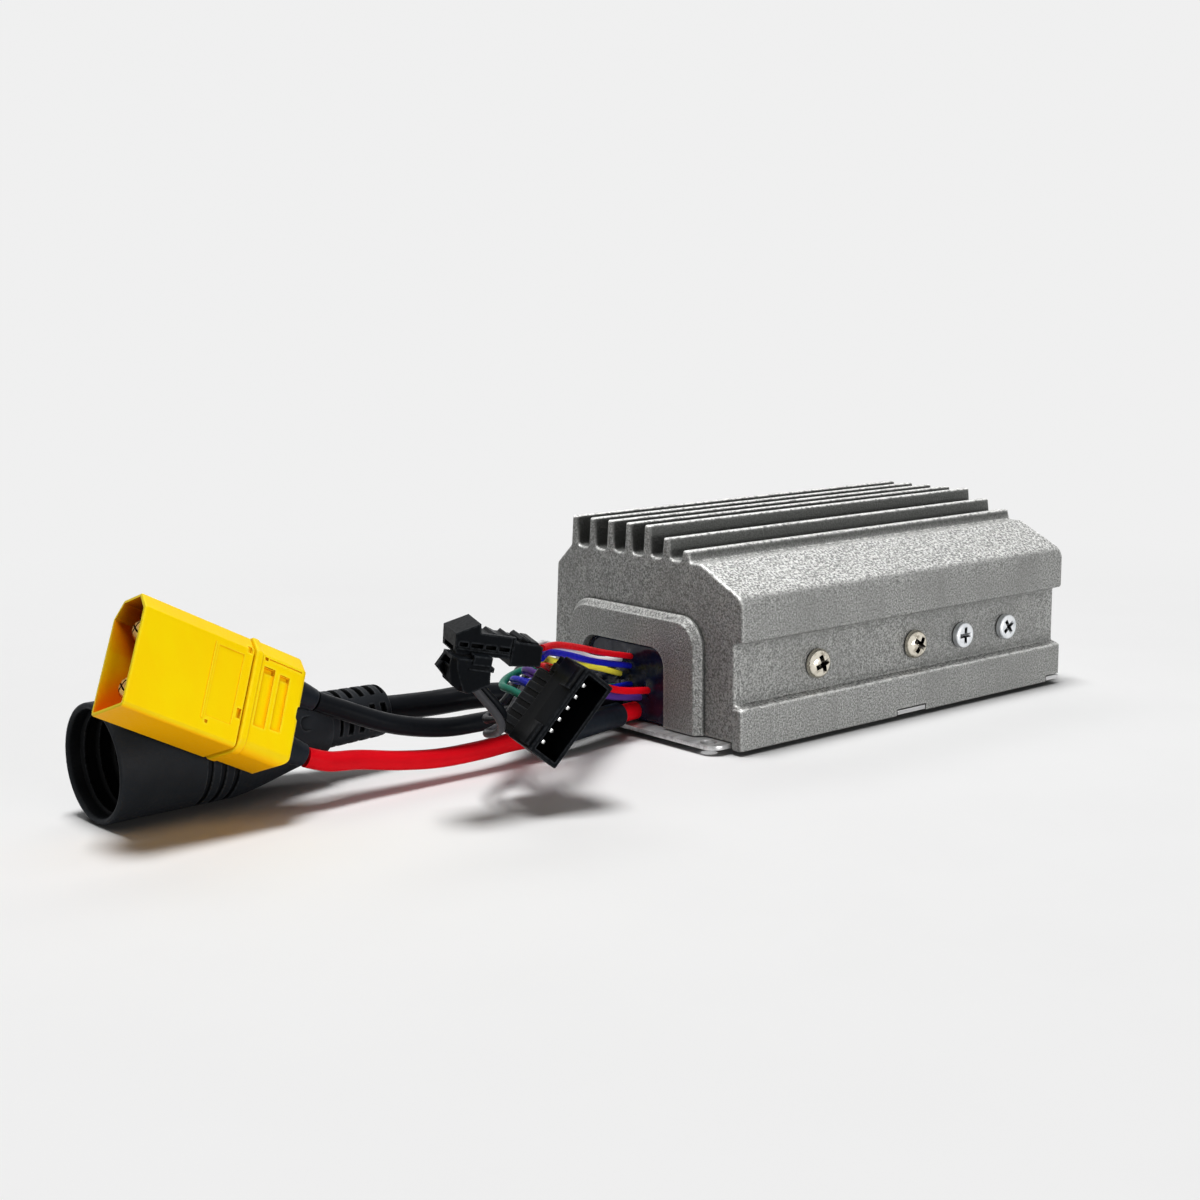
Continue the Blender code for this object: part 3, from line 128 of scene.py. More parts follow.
# Cord routes, the same points as the solids: diameter, look, points from connector to potting
ROUTES = {
    "motor_cable": (5.2, "black", (
        (-109.7, 13.4, 11.3), (-104.5, 13.2, 11.0), (-98.0, 11.9, 11.0), (-89.3, 9.4, 11.5),
        (-80.0, 8.3, 10.6), (-70.0, 9.5, 8.4), (-61.0, 11.4, 6.8), (-53.9, 12.0, 6.2))),
    "battery_lead_red": (3.8, "red", (
        (-138.2, -5.3, 10.0), (-133.5, -5.5, 8.4), (-126.5, -5.0, 7.4), (-117.6, -5.0, 5.7),
        (-108.5, -5.0, 4.6), (-99.0, -5.0, 4.5), (-92.0, -4.9, 4.8), (-84.0, -5.1, 4.9),
        (-75.0, -4.6, 5.0), (-66.3, -3.0, 5.1), (-59.5, -1.2, 4.9), (-53.9, 0.4, 4.6))),
    "battery_lead_black": (3.8, "black", (
        (-133.5, -1.4, 19.1), (-128.4, -1.7, 16.8), (-118.2, -3.0, 12.6), (-107.6, -4.0, 10.3),
        (-98.8, -4.8, 10.1), (-91.0, -3.6, 9.9), (-83.0, -1.2, 9.4), (-75.0, 1.5, 8.6),
        (-67.0, 4.0, 7.6), (-60.0, 5.8, 6.8), (-53.8, 6.4, 6.2))),
    "plug_wire_red": (1.3, "red", (
        (-105.3, -33.5, 29.9), (-98.0, -28.6, 28.8), (-85.0, -19.5, 25.2), (-70.0, -8.5, 20.6),
        (-53.8, 2.0, 16.1))),
    "plug_wire_blue": (1.3, "blue", (
        (-105.3, -33.3, 28.0), (-101.5, -29.8, 27.9), (-97.5, -26.4, 27.0), (-88.0, -19.5, 24.2),
        (-72.0, -8.5, 19.0), (-53.8, 2.3, 14.0))),
    "plug_wire_yellow": (1.3, "yellow", (
        (-104.5, -30.5, 28.0), (-101.2, -27.3, 26.3), (-96.5, -23.7, 25.2), (-86.0, -15.8, 21.6),
        (-72.0, -6.0, 17.8), (-53.8, 5.6, 11.8))),
    "plug_wire_white": (1.3, "white", (
        (-104.4, -30.7, 29.8), (-100.3, -27.3, 29.2), (-94.3, -22.6, 27.3), (-80.0, -11.5, 22.5),
        (-66.0, -1.6, 17.7), (-53.8, 5.4, 15.0))),
    "receptacle_wire_red": (1.5, "red", (
        (-97.1, -28.5, 23.3), (-96.4, -24.6, 23.4), (-95.2, -19.0, 23.3), (-92.5, -15.0, 22.9),
        (-86.0, -12.0, 20.3), (-75.0, -9.0, 15.5), (-64.0, -6.0, 11.5), (-53.6, -3.5, 9.5))),
    "receptacle_wire_purple": (1.5, "purple", (
        (-97.9, -24.6, 21.8), (-96.9, -18.7, 22.3), (-94.5, -14.5, 21.2), (-87.0, -10.0, 18.0),
        (-75.0, -6.5, 13.4), (-64.0, -3.5, 9.8), (-53.6, -0.9, 7.6))),
    "receptacle_wire_blue": (1.5, "blue", (
        (-99.5, -24.1, 19.9), (-98.4, -18.3, 20.4), (-96.0, -12.5, 19.4), (-88.0, -6.5, 16.8),
        (-80.0, -3.5, 15.2), (-72.0, -1.5, 12.8), (-63.0, 0.8, 10.5), (-53.6, 2.0, 9.9))),
    "receptacle_wire_green": (1.5, "green", (
        (-101.0, -23.7, 18.0), (-100.0, -17.8, 18.6), (-98.0, -11.5, 18.4), (-91.0, -4.8, 18.2),
        (-82.0, 0.2, 17.5), (-73.0, 3.2, 13.6), (-63.0, 4.4, 10.2), (-53.6, 5.0, 9.0))),
    "small_plug_wire_grey": (1.5, "grey", (
        (-118.8, -31.0, 24.4), (-114.2, -32.3, 18.0), (-111.6, -28.5, 14.6), (-109.9, -22.4, 12.9),
        (-103.0, -17.0, 12.3), (-95.5, -11.0, 13.4), (-88.0, -4.0, 14.6), (-82.5, 1.4, 16.0),
        (-76.0, 6.8, 14.4), (-66.0, 11.2, 11.8), (-53.6, 12.2, 10.0))),
    "small_plug_wire_black": (1.5, "black", (
        (-117.2, -29.6, 25.0), (-112.6, -31.0, 18.9), (-110.4, -26.8, 16.4), (-108.6, -20.5, 15.1),
        (-102.0, -14.5, 14.7), (-95.0, -9.2, 15.4), (-88.0, -2.0, 16.0), (-82.5, 3.9, 16.9),
        (-76.0, 9.5, 15.2), (-66.0, 13.8, 12.2), (-53.6, 14.8, 10.0))),
}
SLEEVE_X = (-84.0, -60.1)
CORD_POINTS = 34


def make_camera():
    azimuth, elevation, roll = (math.radians(v) for v in (CAMERA_AZIMUTH, CAMERA_ELEVATION, CAMERA_ROLL))
    back = Vector((math.sin(azimuth) * math.cos(elevation), -math.cos(azimuth) * math.cos(elevation),
                   math.sin(elevation)))
    right = Vector((0, 0, 1)).cross(back).normalized()
    up = back.cross(right)
    across = math.cos(roll) * right + math.sin(roll) * up
    rise = math.cos(roll) * up - math.sin(roll) * right
    data = bpy.data.cameras.new("photo_camera")
    data.lens = CAMERA_LENS
    data.sensor_width = 36.0
    data.clip_start = 0.01
    camera = bpy.data.objects.new("photo_camera", data)
    turn = Matrix((across, rise, back)).transposed().to_4x4()
    camera.matrix_world = Matrix.Translation(CAMERA_PLACE) @ turn
    SCENE.collection.objects.link(camera)
    SCENE.camera = camera


class Look:
    """A node material. Its textures use object coordinates, which are metres in the part's frame."""

    def __init__(self, name, **sockets):
        self.material = bpy.data.materials.new(name)
        self.material.use_nodes = True
        self.nodes = self.material.node_tree.nodes
        self.links = self.material.node_tree.links
        self.shader = self.nodes["Principled BSDF"]
        self.place = self.add("ShaderNodeTexCoord").outputs["Object"]
        for name, value in sockets.items():
            self.put(self.shader.inputs[name.replace("_", " ")], value)

    def put(self, socket, value):
        if isinstance(value, bpy.types.NodeSocket):
            self.links.new(value, socket)
        else:
            socket.default_value = value

    def add(self, kind, inputs=None, **settings):
        node = self.nodes.new(kind)
        for name, value in settings.items():
            setattr(node, name, value)
        for name, value in (inputs or {}).items():
            self.put(node.inputs[name], value)
        return node

    def noise(self, scale, detail=3.0, roughness=0.55, stretch=None):
        place = self.place
        if stretch:
            place = self.add("ShaderNodeMapping", {"Vector": place, "Scale": stretch}).outputs["Vector"]
        settings = {"Vector": place, "Scale": scale, "Detail": detail, "Roughness": roughness}
        return self.add("ShaderNodeTexNoise", settings).outputs["Fac"]

    def cells(self, scale):
        settings = {"Vector": self.place, "Scale": scale}
        return self.add("ShaderNodeTexVoronoi", settings).outputs["Distance"]

    def remap(self, value, low, high, to_low=0.0, to_high=1.0):
        settings = {"Value": value, "From Min": low, "From Max": high, "To Min": to_low, "To Max": to_high}
        node = self.add("ShaderNodeMapRange", settings, interpolation_type="SMOOTHSTEP")
        return node.outputs["Result"]

    def math(self, operation, first, second):
        node = self.add("ShaderNodeMath", operation=operation)
        self.put(node.inputs[0], first)
        self.put(node.inputs[1], second)
        return node.outputs["Value"]

    def blend(self, amount, first, second):
        node = self.add("ShaderNodeMix", data_type="RGBA")
        self.put(node.inputs[0], amount)
        for index, colour in ((6, first), (7, second)):
            self.put(node.inputs[index], colour if isinstance(colour, bpy.types.NodeSocket) else (*colour, 1.0))
        return node.outputs[2]

    def edges(self, reach):
        """From 0 on open faces to 1 on convex edges."""
        node = self.add("ShaderNodeAmbientOcclusion", {"Distance": reach}, inside=True, only_local=True)
        return self.remap(node.outputs["AO"], 0.98, 0.84)

    def hollows(self, reach, shallow=0.85, deep=0.3):
        """From 0 on open faces to 1 deep in grooves."""
        node = self.add("ShaderNodeAmbientOcclusion", {"Distance": reach}, only_local=True)
        return self.remap(node.outputs["AO"], shallow, deep)

    def axis(self, vector, name):
        return self.add("ShaderNodeSeparateXYZ", {0: vector}).outputs[name]

    def facing(self, name, low, high, to_low=0.0, to_high=1.0):
        """How far a face looks along one axis of the part."""
        normal = self.add("ShaderNodeNewGeometry").outputs["Normal"]
        return self.remap(self.axis(normal, name), low, high, to_low, to_high)

    def upward(self, low, high, to_low=0.0, to_high=1.0):
        """How far a face looks up, for wear that gathers on top and for painted highlight and shade that depend on
        how light falls.
        """
        return self.facing("Z", low, high, to_low, to_high)

    def bump(self, height, distance, normal=None):
        settings = {"Height": height, "Distance": distance}
        if normal:
            settings["Normal"] = normal
        return self.add("ShaderNodeBump", settings).outputs["Normal"]

    def finish(self, colour=None, roughness=None, normal=None, metallic=None):
        for name, value in (("Base Color", colour), ("Roughness", roughness), ("Normal", normal),
                            ("Metallic", metallic)):
            if value is not None:
                self.put(self.shader.inputs[name], value)
        return self.material


def shade(colour, amount):
    return tuple(min(1.0, c * amount) for c in colour)


def cast_aluminium():
    look = Look("cast_aluminium", Specular_IOR_Level=0.2)
    sand = look.noise(2600, 2, 0.6)
    grit = look.noise(900, 3)
    blotch = look.noise(45, 3)
    streak = look.noise(420, 2, 0.5, (1.0, 1.0, 0.06))
    tone = look.blend(look.remap(sand, 0.3, 0.72), (0.13, 0.132, 0.127), (0.45, 0.453, 0.44))
    tone = look.blend(look.remap(streak, 0.45, 0.7, 0.0, 0.3), tone, (0.2, 0.202, 0.195))
    tone = look.blend(look.remap(blotch, 0.42, 0.7, 0.0, 0.4), tone, (0.19, 0.192, 0.185))
    # Painted shade: faces above the deck that look towards -Y (the fin sides) are darkened.
    painted_fin_side_shade = look.remap(look.axis(look.place, "Z"), DECK_Z * MM, (DECK_Z + 1.5) * MM)
    painted_fin_side_shade = look.math("MULTIPLY", painted_fin_side_shade, look.facing("Y", -0.4, -0.85, 0.0, 0.8))
    tone = look.blend(painted_fin_side_shade, tone, (0.06, 0.062, 0.058))
    # Painted highlight: noisy glints lighten faces that look up.
    flash = look.noise(1900, 2, 0.6)
    painted_top_glint = look.math("MULTIPLY", look.remap(flash, 0.4, 0.62), look.upward(0.5, 0.92, 0.0, 0.88))
    tone = look.blend(painted_top_glint, tone, (0.9, 0.9, 0.88))
    # Pale edges: part wear, part painted highlight, strongest on edges that face up.
    wear_and_highlight = look.math("MULTIPLY", look.edges(0.0008), look.remap(grit, 0.36, 0.56, 0.25, 1.0))
    wear_and_highlight = look.math("MULTIPLY", wear_and_highlight, look.upward(0.0, 0.65, 0.08, 1.0))
    tone = look.blend(wear_and_highlight, tone, (0.94, 0.94, 0.92))
    # Painted shade: grooves between the fins and other recesses are darkened.
    tone = look.blend(look.math("MULTIPLY", look.hollows(0.008, 0.92, 0.4), 0.9), tone, (0.05, 0.052, 0.048))
    rough = look.remap(sand, 0.3, 0.7, 0.54, 0.36)
    height = look.math("ADD", sand, look.math("MULTIPLY", grit, 0.6))
    return look.finish(tone, rough, look.bump(height, 0.00022), look.remap(wear_and_highlight, 0.0, 1.0, 0.42, 0.8))


def plate_aluminium():
    look = Look("plate_aluminium", Metallic=0.75)
    brushed = look.noise(900, 3, 0.6, (0.05, 1.0, 1.0))
    blotch = look.noise(120, 4)
    tone = look.blend(look.remap(brushed, 0.3, 0.7), (0.42, 0.42, 0.42), (0.66, 0.66, 0.66))
    tone = look.blend(look.remap(blotch, 0.5, 0.75, 0.0, 0.45), tone, (0.33, 0.33, 0.33))
    rough = look.remap(blotch, 0.3, 0.7, 0.32, 0.48)
    return look.finish(tone, rough, look.bump(brushed, 0.00003))


def plated(name, colour, roughness, tarnish_and_shade):
    """Plated metal with light scratches, tarnished patches and painted shade in its recesses."""
    look = Look(name, Metallic=1.0)
    cloud = look.noise(650, 4)
    scratch = look.noise(2200, 2, 0.5, (1.0, 0.12, 0.4))
    tone = look.blend(look.remap(cloud, 0.42, 0.75), colour, tarnish_and_shade)
    # Painted shade: recesses such as the cross recess are darkened to near black.
    tone = look.blend(look.hollows(0.0015, 0.95, 0.55), tone, shade(tarnish_and_shade, 0.05))
    rough = look.remap(scratch, 0.35, 0.7, roughness - 0.05, roughness + 0.12)
    return look.finish(tone, rough, look.bump(scratch, 0.00001))


def potting_resin():
    look = Look("potting_resin", Specular_IOR_Level=0.3)
    swell = look.noise(160, 2)
    dust = look.cells(900)
    speck = look.remap(dust, 0.12, 0.05, 0.0, 0.35)
    tone = look.blend(look.noise(90, 3), (0.006, 0.009, 0.024), (0.016, 0.022, 0.05))
    tone = look.blend(speck, tone, (0.12, 0.13, 0.15))
    rough = look.remap(swell, 0.3, 0.7, 0.14, 0.3)
    return look.finish(tone, rough, look.bump(swell, 0.0006))


def plastic(name, colour, roughness, mottle=0.12, grain=2400.0, depth=0.00002, scuff_and_highlight=None, reach=0.0004,
            gloss=0.25, painted_shade_reach=0.0):
    """Moulded plastic: cloudy tone, fine grain and, when asked, pale edges that are part wear and part painted
    highlight, and painted shade in recesses.
    """
    look = Look(name, Specular_IOR_Level=gloss)
    cloud = look.noise(85, 4)
    fine = look.noise(grain, 2)
    tone = look.blend(look.remap(cloud, 0.3, 0.7), shade(colour, 1 - mottle), shade(colour, 1 + mottle))
    # Painted shade: recesses are darkened towards a tenth of the colour.
    if painted_shade_reach:
        tone = look.blend(look.hollows(painted_shade_reach, 0.95, 0.6), tone, shade(colour, 0.1))
    # Pale edges: part wear, part painted highlight on edges and ridges.
    if scuff_and_highlight:
        wear_and_highlight = look.math("MULTIPLY", look.edges(reach), look.remap(fine, 0.35, 0.6, 0.1, 0.6))
        tone = look.blend(wear_and_highlight, tone, scuff_and_highlight)
    rough = look.remap(fine, 0.3, 0.7, roughness - 0.06, roughness + 0.08)
    return look.finish(tone, rough, look.bump(fine, depth))


def yellow_plastic():
    look = Look("yellow_plastic", Specular_IOR_Level=0.1)
    flow = look.noise(70, 4, 0.6, (1.0, 0.5, 0.5))
    fine = look.noise(1900, 3)
    tone = look.blend(look.remap(flow, 0.3, 0.72), (1.0, 0.65, 0.0), (1.0, 0.73, 0.0))
    # Pale edges: part wear, part painted highlight.
    wear_and_highlight = look.math("MULTIPLY", look.edges(0.0005), look.remap(fine, 0.3, 0.6, 0.2, 0.75))
    tone = look.blend(wear_and_highlight, tone, (1.0, 0.78, 0.02))
    # Painted shade: faces that look down turn deeper orange.
    tone = look.blend(look.upward(0.0, -0.8, 0.0, 0.8), tone, (1.0, 0.42, 0.0))
    # Painted shade in the mouth and creases: deep orange in deep recesses, near black on their faces that look down,
    # and orange close to inner edges.
    close = look.hollows(0.0012, 0.95, 0.5)
    deep = look.math("MULTIPLY", look.hollows(0.011, 0.93, 0.55), look.math("SUBTRACT", 1.0, close))
    tone = look.blend(deep, tone, (0.95, 0.16, 0.0))
    tone = look.blend(look.math("MULTIPLY", deep, look.upward(0.1, -0.5)), tone, (0.2, 0.035, 0.0))
    tone = look.blend(look.math("MULTIPLY", close, 0.35), tone, (0.8, 0.34, 0.0))
    rough = look.remap(fine, 0.3, 0.7, 0.32, 0.46)
    return look.finish(tone, rough, look.bump(fine, 0.000025))


def circuit_board():
    look = Look("circuit_board", Roughness=0.45)
    lines = look.add("ShaderNodeTexWave", {"Vector": look.place, "Scale": 160.0, "Distortion": 6.0})
    tone = look.blend(look.remap(lines.outputs["Fac"], 0.45, 0.55), (0.01, 0.11, 0.04), (0.03, 0.2, 0.08))
    return look.finish(tone, None, look.bump(lines.outputs["Fac"], 0.00003))


def make_looks():
    signal = (0.003, 0.0038, 0.005)
    looks = {
        "cast": cast_aluminium(),
        "plate": plate_aluminium(),
        "nickel": plated("polished_nickel", (0.78, 0.73, 0.62), 0.14, (0.3, 0.26, 0.2)),
        "zinc": plated("white_zinc", (0.8, 0.82, 0.84), 0.34, (0.62, 0.65, 0.68)),
        "gold": plated("gold_plate", (0.6, 0.36, 0.1), 0.3, (0.36, 0.2, 0.06)),
        "tin": plated("tin_plate", (0.82, 0.82, 0.81), 0.28, (0.6, 0.6, 0.6)),
        "clamp": plated("clamp_steel", (0.5, 0.5, 0.5), 0.4, (0.36, 0.36, 0.37)),
        "potting": potting_resin(),
        "yellow_plastic": yellow_plastic(),
        "board": circuit_board(),
        "pad": plastic("thermal_pad", (0.5, 0.57, 0.66), 0.75),
        "package": plastic("package_epoxy", (0.02, 0.02, 0.02), 0.5),
        "capacitor": plastic("capacitor_sleeve", (0.03, 0.04, 0.1), 0.35),
        # Pale edges on shrink, rubber and signal plastic are part wear, part painted highlight; rubber and signal
        # plastic also get painted shade in their recesses.
        "shrink": plastic("heat_shrink", (0.009, 0.012, 0.017), 0.36, 0.2, 700.0, 0.00002, (0.03, 0.034, 0.04),
                          gloss=0.1),
        "connector_rubber": plastic("connector_rubber", (0.014, 0.016, 0.019), 0.5, 0.15, 1500.0, 0.00005,
                                    (0.05, 0.054, 0.058), gloss=0.06, painted_shade_reach=0.02),
        "signal_plastic": plastic("signal_plastic", signal, 0.36, 0.2, 1700.0, 0.000008, (0.03, 0.033, 0.037),
                                  gloss=0.035, painted_shade_reach=0.003),
    }
    wires = {
        "red": (0.62, 0.004, 0.01), "black": (0.006, 0.007, 0.009), "blue": (0.008, 0.012, 0.36),
        "yellow": (0.82, 0.74, 0.06), "white": (0.8, 0.8, 0.8), "purple": (0.075, 0.028, 0.2),
        "green": (0.008, 0.15, 0.1), "grey": (0.06, 0.06, 0.066),
    }
    for colour, value in wires.items():
        looks[f"insulation_{colour}"] = plastic(f"insulation_{colour}", value, 0.36, 0.1, 1100.0, 0.00003, gloss=0.05)
    return looks


def offset_corners(corners, distance):
    """Move a closed outline's corners (u, v, radius) inwards, with their radii."""
    count = len(corners)
    area = sum(corners[i][0] * corners[(i + 1) % count][1] - corners[(i + 1) % count][0] * corners[i][1]
               for i in range(count))
    inward = 1.0 if area > 0 else -1.0
    moved = []
    for i, (u, v, radius) in enumerate(corners):
        before = Vector((u - corners[i - 1][0], v - corners[i - 1][1])).normalized()
        after = Vector((corners[(i + 1) % count][0] - u, corners[(i + 1) % count][1] - v)).normalized()
        normal_before = Vector((-before.y, before.x)) * inward
        normal_after = Vector((-after.y, after.x)) * inward
        mitre = (normal_before + normal_after) / (1.0 + normal_before.dot(normal_after))
        turn = (before.x * after.y - before.y * after.x) * inward
        kept = 0.0 if radius == 0 else max(radius - distance if turn > 0 else radius + distance, 0.06)
        moved.append((u + mitre.x * distance, v + mitre.y * distance, kept))
    return moved


def rounded(corners, steps):
    """Points of a closed outline whose corners (u, v, radius) are arcs."""
    points = []
    count = len(corners)
    for i, (u, v, radius) in enumerate(corners):
        corner = Vector((u, v))
        if radius == 0:
            points.append(corner)
            continue
        back = Vector(corners[i - 1][:2]) - corner
        ahead = Vector(corners[(i + 1) % count][:2]) - corner
        half = back.angle(ahead) / 2
        reach = min(radius / math.tan(half), 0.48 * back.length, 0.48 * ahead.length)
        arc = reach * math.tan(half)
        centre = corner + (back.normalized() + ahead.normalized()).normalized() * arc / math.sin(half)
        first = corner + back.normalized() * reach - centre
        last = corner + ahead.normalized() * reach - centre
        swing = first.angle_signed(last)
        for k in range(steps + 1):
            points.append(centre + Matrix.Rotation(-swing * k / steps, 2) @ first)
    return points


def loft(sections):
    """A closed body through equal rings of points."""
    bm = bmesh.new()
    rings = [[bm.verts.new(point) for point in ring] for ring in sections]
    count = len(rings[0])
    for near, far in zip(rings, rings[1:]):
        for i in range(count):
            j = (i + 1) % count
            bm.faces.new((near[i], near[j], far[j], far[i]))
    bm.faces.new(rings[0])
    bm.faces.new(list(reversed(rings[-1])))
    return bm


def edge_stations(start, end, edge, steps=4):
    """Positions and insets that round both end edges of a run by edge."""
    if not edge:
        return [(start, 0.0), (end, 0.0)]
    bends = [math.pi / 2 * k / steps for k in range(steps + 1)]
    near = [(start + edge * (1 - math.cos(a)), edge * (1 - math.sin(a))) for a in bends]
    return near + [(start + end - x, inset) for x, inset in reversed(near)]


def prism(corners, start, end, edge=0.0, steps=6):
    """An outline (y, z, radius) run along X."""
    return loft([[(x, p.x, p.y) for p in rounded(offset_corners(corners, inset), steps)]
                 for x, inset in edge_stations(start, end, edge)])


def slab(outline, low_y, high_y, edge=0.2, steps=3):
    """A side outline (x, z) run across Y, with its edges softened."""
    corners = [(x, z, edge) for x, z in outline]
    return loft([[(p.x, y, p.y) for p in rounded(offset_corners(corners, inset), steps)]
                 for y, inset in edge_stations(low_y, high_y, edge, 3)])


def box(low, high, edge=0.0):
    """A box; with edge, its long edges and ends are rounded."""
    corners = [(low[1], low[2], edge), (high[1], low[2], edge),
               (high[1], high[2], edge), (low[1], high[2], edge)]
    return prism(corners, low[0], high[0], edge * 0.8, 3)


def turned(profile, sides=96, sink=None):
    """Turn a profile (x, radius) round X; sink(x, angle) pushes points in. Its ends lie on the axis."""
    bm = bmesh.new()
    rings = []
    for x, radius in profile:
        if radius == 0:
            rings.append([bm.verts.new((x, 0, 0))])
            continue
        ring = []
        for k in range(sides):
            angle = 2 * math.pi * k / sides
            depth = sink(x, angle) if sink else 0.0
            ring.append(bm.verts.new((x, (radius - depth) * math.cos(angle), (radius - depth) * math.sin(angle))))
        rings.append(ring)
    for near, far in zip(rings, rings[1:]):
        for k in range(sides):
            quad = [near[k % len(near)], near[(k + 1) % len(near)], far[(k + 1) % len(far)], far[k % len(far)]]
            corners = list(dict.fromkeys(quad))
            if len(corners) > 2:
                bm.faces.new(corners)
    return bm


def rod(start, end, radius, axis="X", across=(0.0, 0.0), sides=48):
    bm = turned([(start, 0), (start, radius), (end, radius), (end, 0)], sides)
    if axis == "Y":
        bmesh.ops.rotate(bm, matrix=Matrix.Rotation(math.pi / 2, 3, "Z"), verts=bm.verts)
        bmesh.ops.translate(bm, vec=(across[0], 0, across[1]), verts=bm.verts)
    elif axis == "Z":
        bmesh.ops.rotate(bm, matrix=Matrix.Rotation(-math.pi / 2, 3, "Y"), verts=bm.verts)
        bmesh.ops.translate(bm, vec=(across[0], across[1], 0), verts=bm.verts)
    else:
        bmesh.ops.translate(bm, vec=(0, across[0], across[1]), verts=bm.verts)
    return bm


def object_from(name, bm):
    bmesh.ops.remove_doubles(bm, verts=bm.verts, dist=1e-5)
    bmesh.ops.recalc_face_normals(bm, faces=bm.faces)
    mesh = bpy.data.meshes.new(name)
    bm.to_mesh(mesh)
    bm.free()
    made = bpy.data.objects.new(name, mesh)
    SCENE.collection.objects.link(made)
    return made


def take_result(target):
    """Replace an object's mesh by what its modifiers make of it."""
    graph = bpy.context.evaluated_depsgraph_get()
    result = bpy.data.meshes.new_from_object(target.evaluated_get(graph))
    target.modifiers.clear()
    target.data = result


def combine(target, bm, operation):
    tool = object_from("tool", bm)
    modifier = target.modifiers.new(operation, "BOOLEAN")
    modifier.operation = operation
    modifier.object = tool
    take_result(target)
    bpy.data.objects.remove(tool, do_unlink=True)


def cut(target, *tools):
    for tool in tools:
        combine(target, tool, "DIFFERENCE")


def add(target, *tools):
    for tool in tools:
        combine(target, tool, "UNION")


def drop_slivers(mesh, size):
    """Join points that lie closer than size, and drop the faces that then have no area."""
    bm = bmesh.new()
    bm.from_mesh(mesh)
    bmesh.ops.remove_doubles(bm, verts=bm.verts, dist=size)
    bmesh.ops.dissolve_degenerate(bm, edges=bm.edges, dist=size)
    bmesh.ops.triangulate(bm, faces=[face for face in bm.faces if len(face.verts) > 4])
    bm.to_mesh(mesh)
    bm.free()


def show(made, node, look, place=None, body="controller", bevel=0.0, sharp=35.0, segments=2):
    """Make an object drawn in millimetres the shown piece for a CAD node."""
    made.name = f"{node}_look"
    turn = Matrix.Identity(4)
    if place:
        turn = Matrix.Translation(place[0]) @ Euler([math.radians(a) for a in place[1]]).to_matrix().to_4x4()
    made.data.transform(Matrix.Scale(MM, 4) @ turn)
    made.data.materials.clear()
    made.data.materials.append(look)
    drop_slivers(made.data, 4 * SLIVER)
    if bevel:
        rim = made.modifiers.new("edges", "BEVEL")
        rim.width = bevel * MM
        rim.segments = segments
        rim.limit_method = "ANGLE"
        rim.angle_limit = math.radians(sharp)
        take_result(made)
    drop_slivers(made.data, SLIVER)
    made.data.shade_smooth()
    made.data.set_sharp_from_angle(angle=math.radians(sharp))
    normals = made.modifiers.new("normals", "WEIGHTED_NORMAL")
    normals.keep_sharp = True
    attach(made, body)
    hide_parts(node)
    return made


def refined(node, look, bevel=0.15, body="controller", sharp=35.0):
    """A copy of a CAD node with its flat faces joined and its sharp edges softened."""
    bm = bmesh.new()
    bm.from_mesh(frame["nodes"][node].data)
    bmesh.ops.scale(bm, vec=(1 / MM,) * 3, verts=bm.verts)
    bmesh.ops.remove_doubles(bm, verts=bm.verts, dist=1e-4)
    bmesh.ops.dissolve_limit(bm, angle_limit=math.radians(1.0), verts=bm.verts, edges=bm.edges)
    return show(object_from(node + "_copy", bm), node, look, None, body, bevel, sharp)


def housing_corners():
    near = -WIDTH / 2
    panel = near + SIDE_RECESS
    corners = [
        (near, RIM_Z, 0.4), (near, FLANGE_TOP_Z, 0.6), (panel, FLANGE_TOP_Z + 0.7, 0.5),
        (panel, BAND_BOTTOM_Z - 0.7, 0.5), (near, BAND_BOTTOM_Z, 0.6), (near, SHOULDER_Z, 3.2),
        (SLOPE_TOP_Y, DECK_Z, 1.2),
    ]
    for i in reversed(range(FIN_COUNT)):
        middle = FIRST_FIN_Y - i * FIN_PITCH
        top = DECK_Z + FIN_HEIGHT - FIN_STEP_DOWN * max(0, i - FIN_COUNT + 3)
        corners += [(middle - 1.35, DECK_Z, 0.8), (middle - 0.75, top, 0.4),
                    (middle + 0.75, top, 0.4), (middle + 1.35, DECK_Z, 0.8)]
    return corners + [(*FAR_TOP, 1.5), (WIDTH / 2, RIM_Z, 0.4)]


def tunnel_corners(inset, floor_z):
    near, far, top = TUNNEL
    return [(near + inset, floor_z, 0), (near + inset, top - inset, TUNNEL_ROUND),
            (far - inset, top - inset, TUNNEL_ROUND), (far - inset, floor_z, 0)]


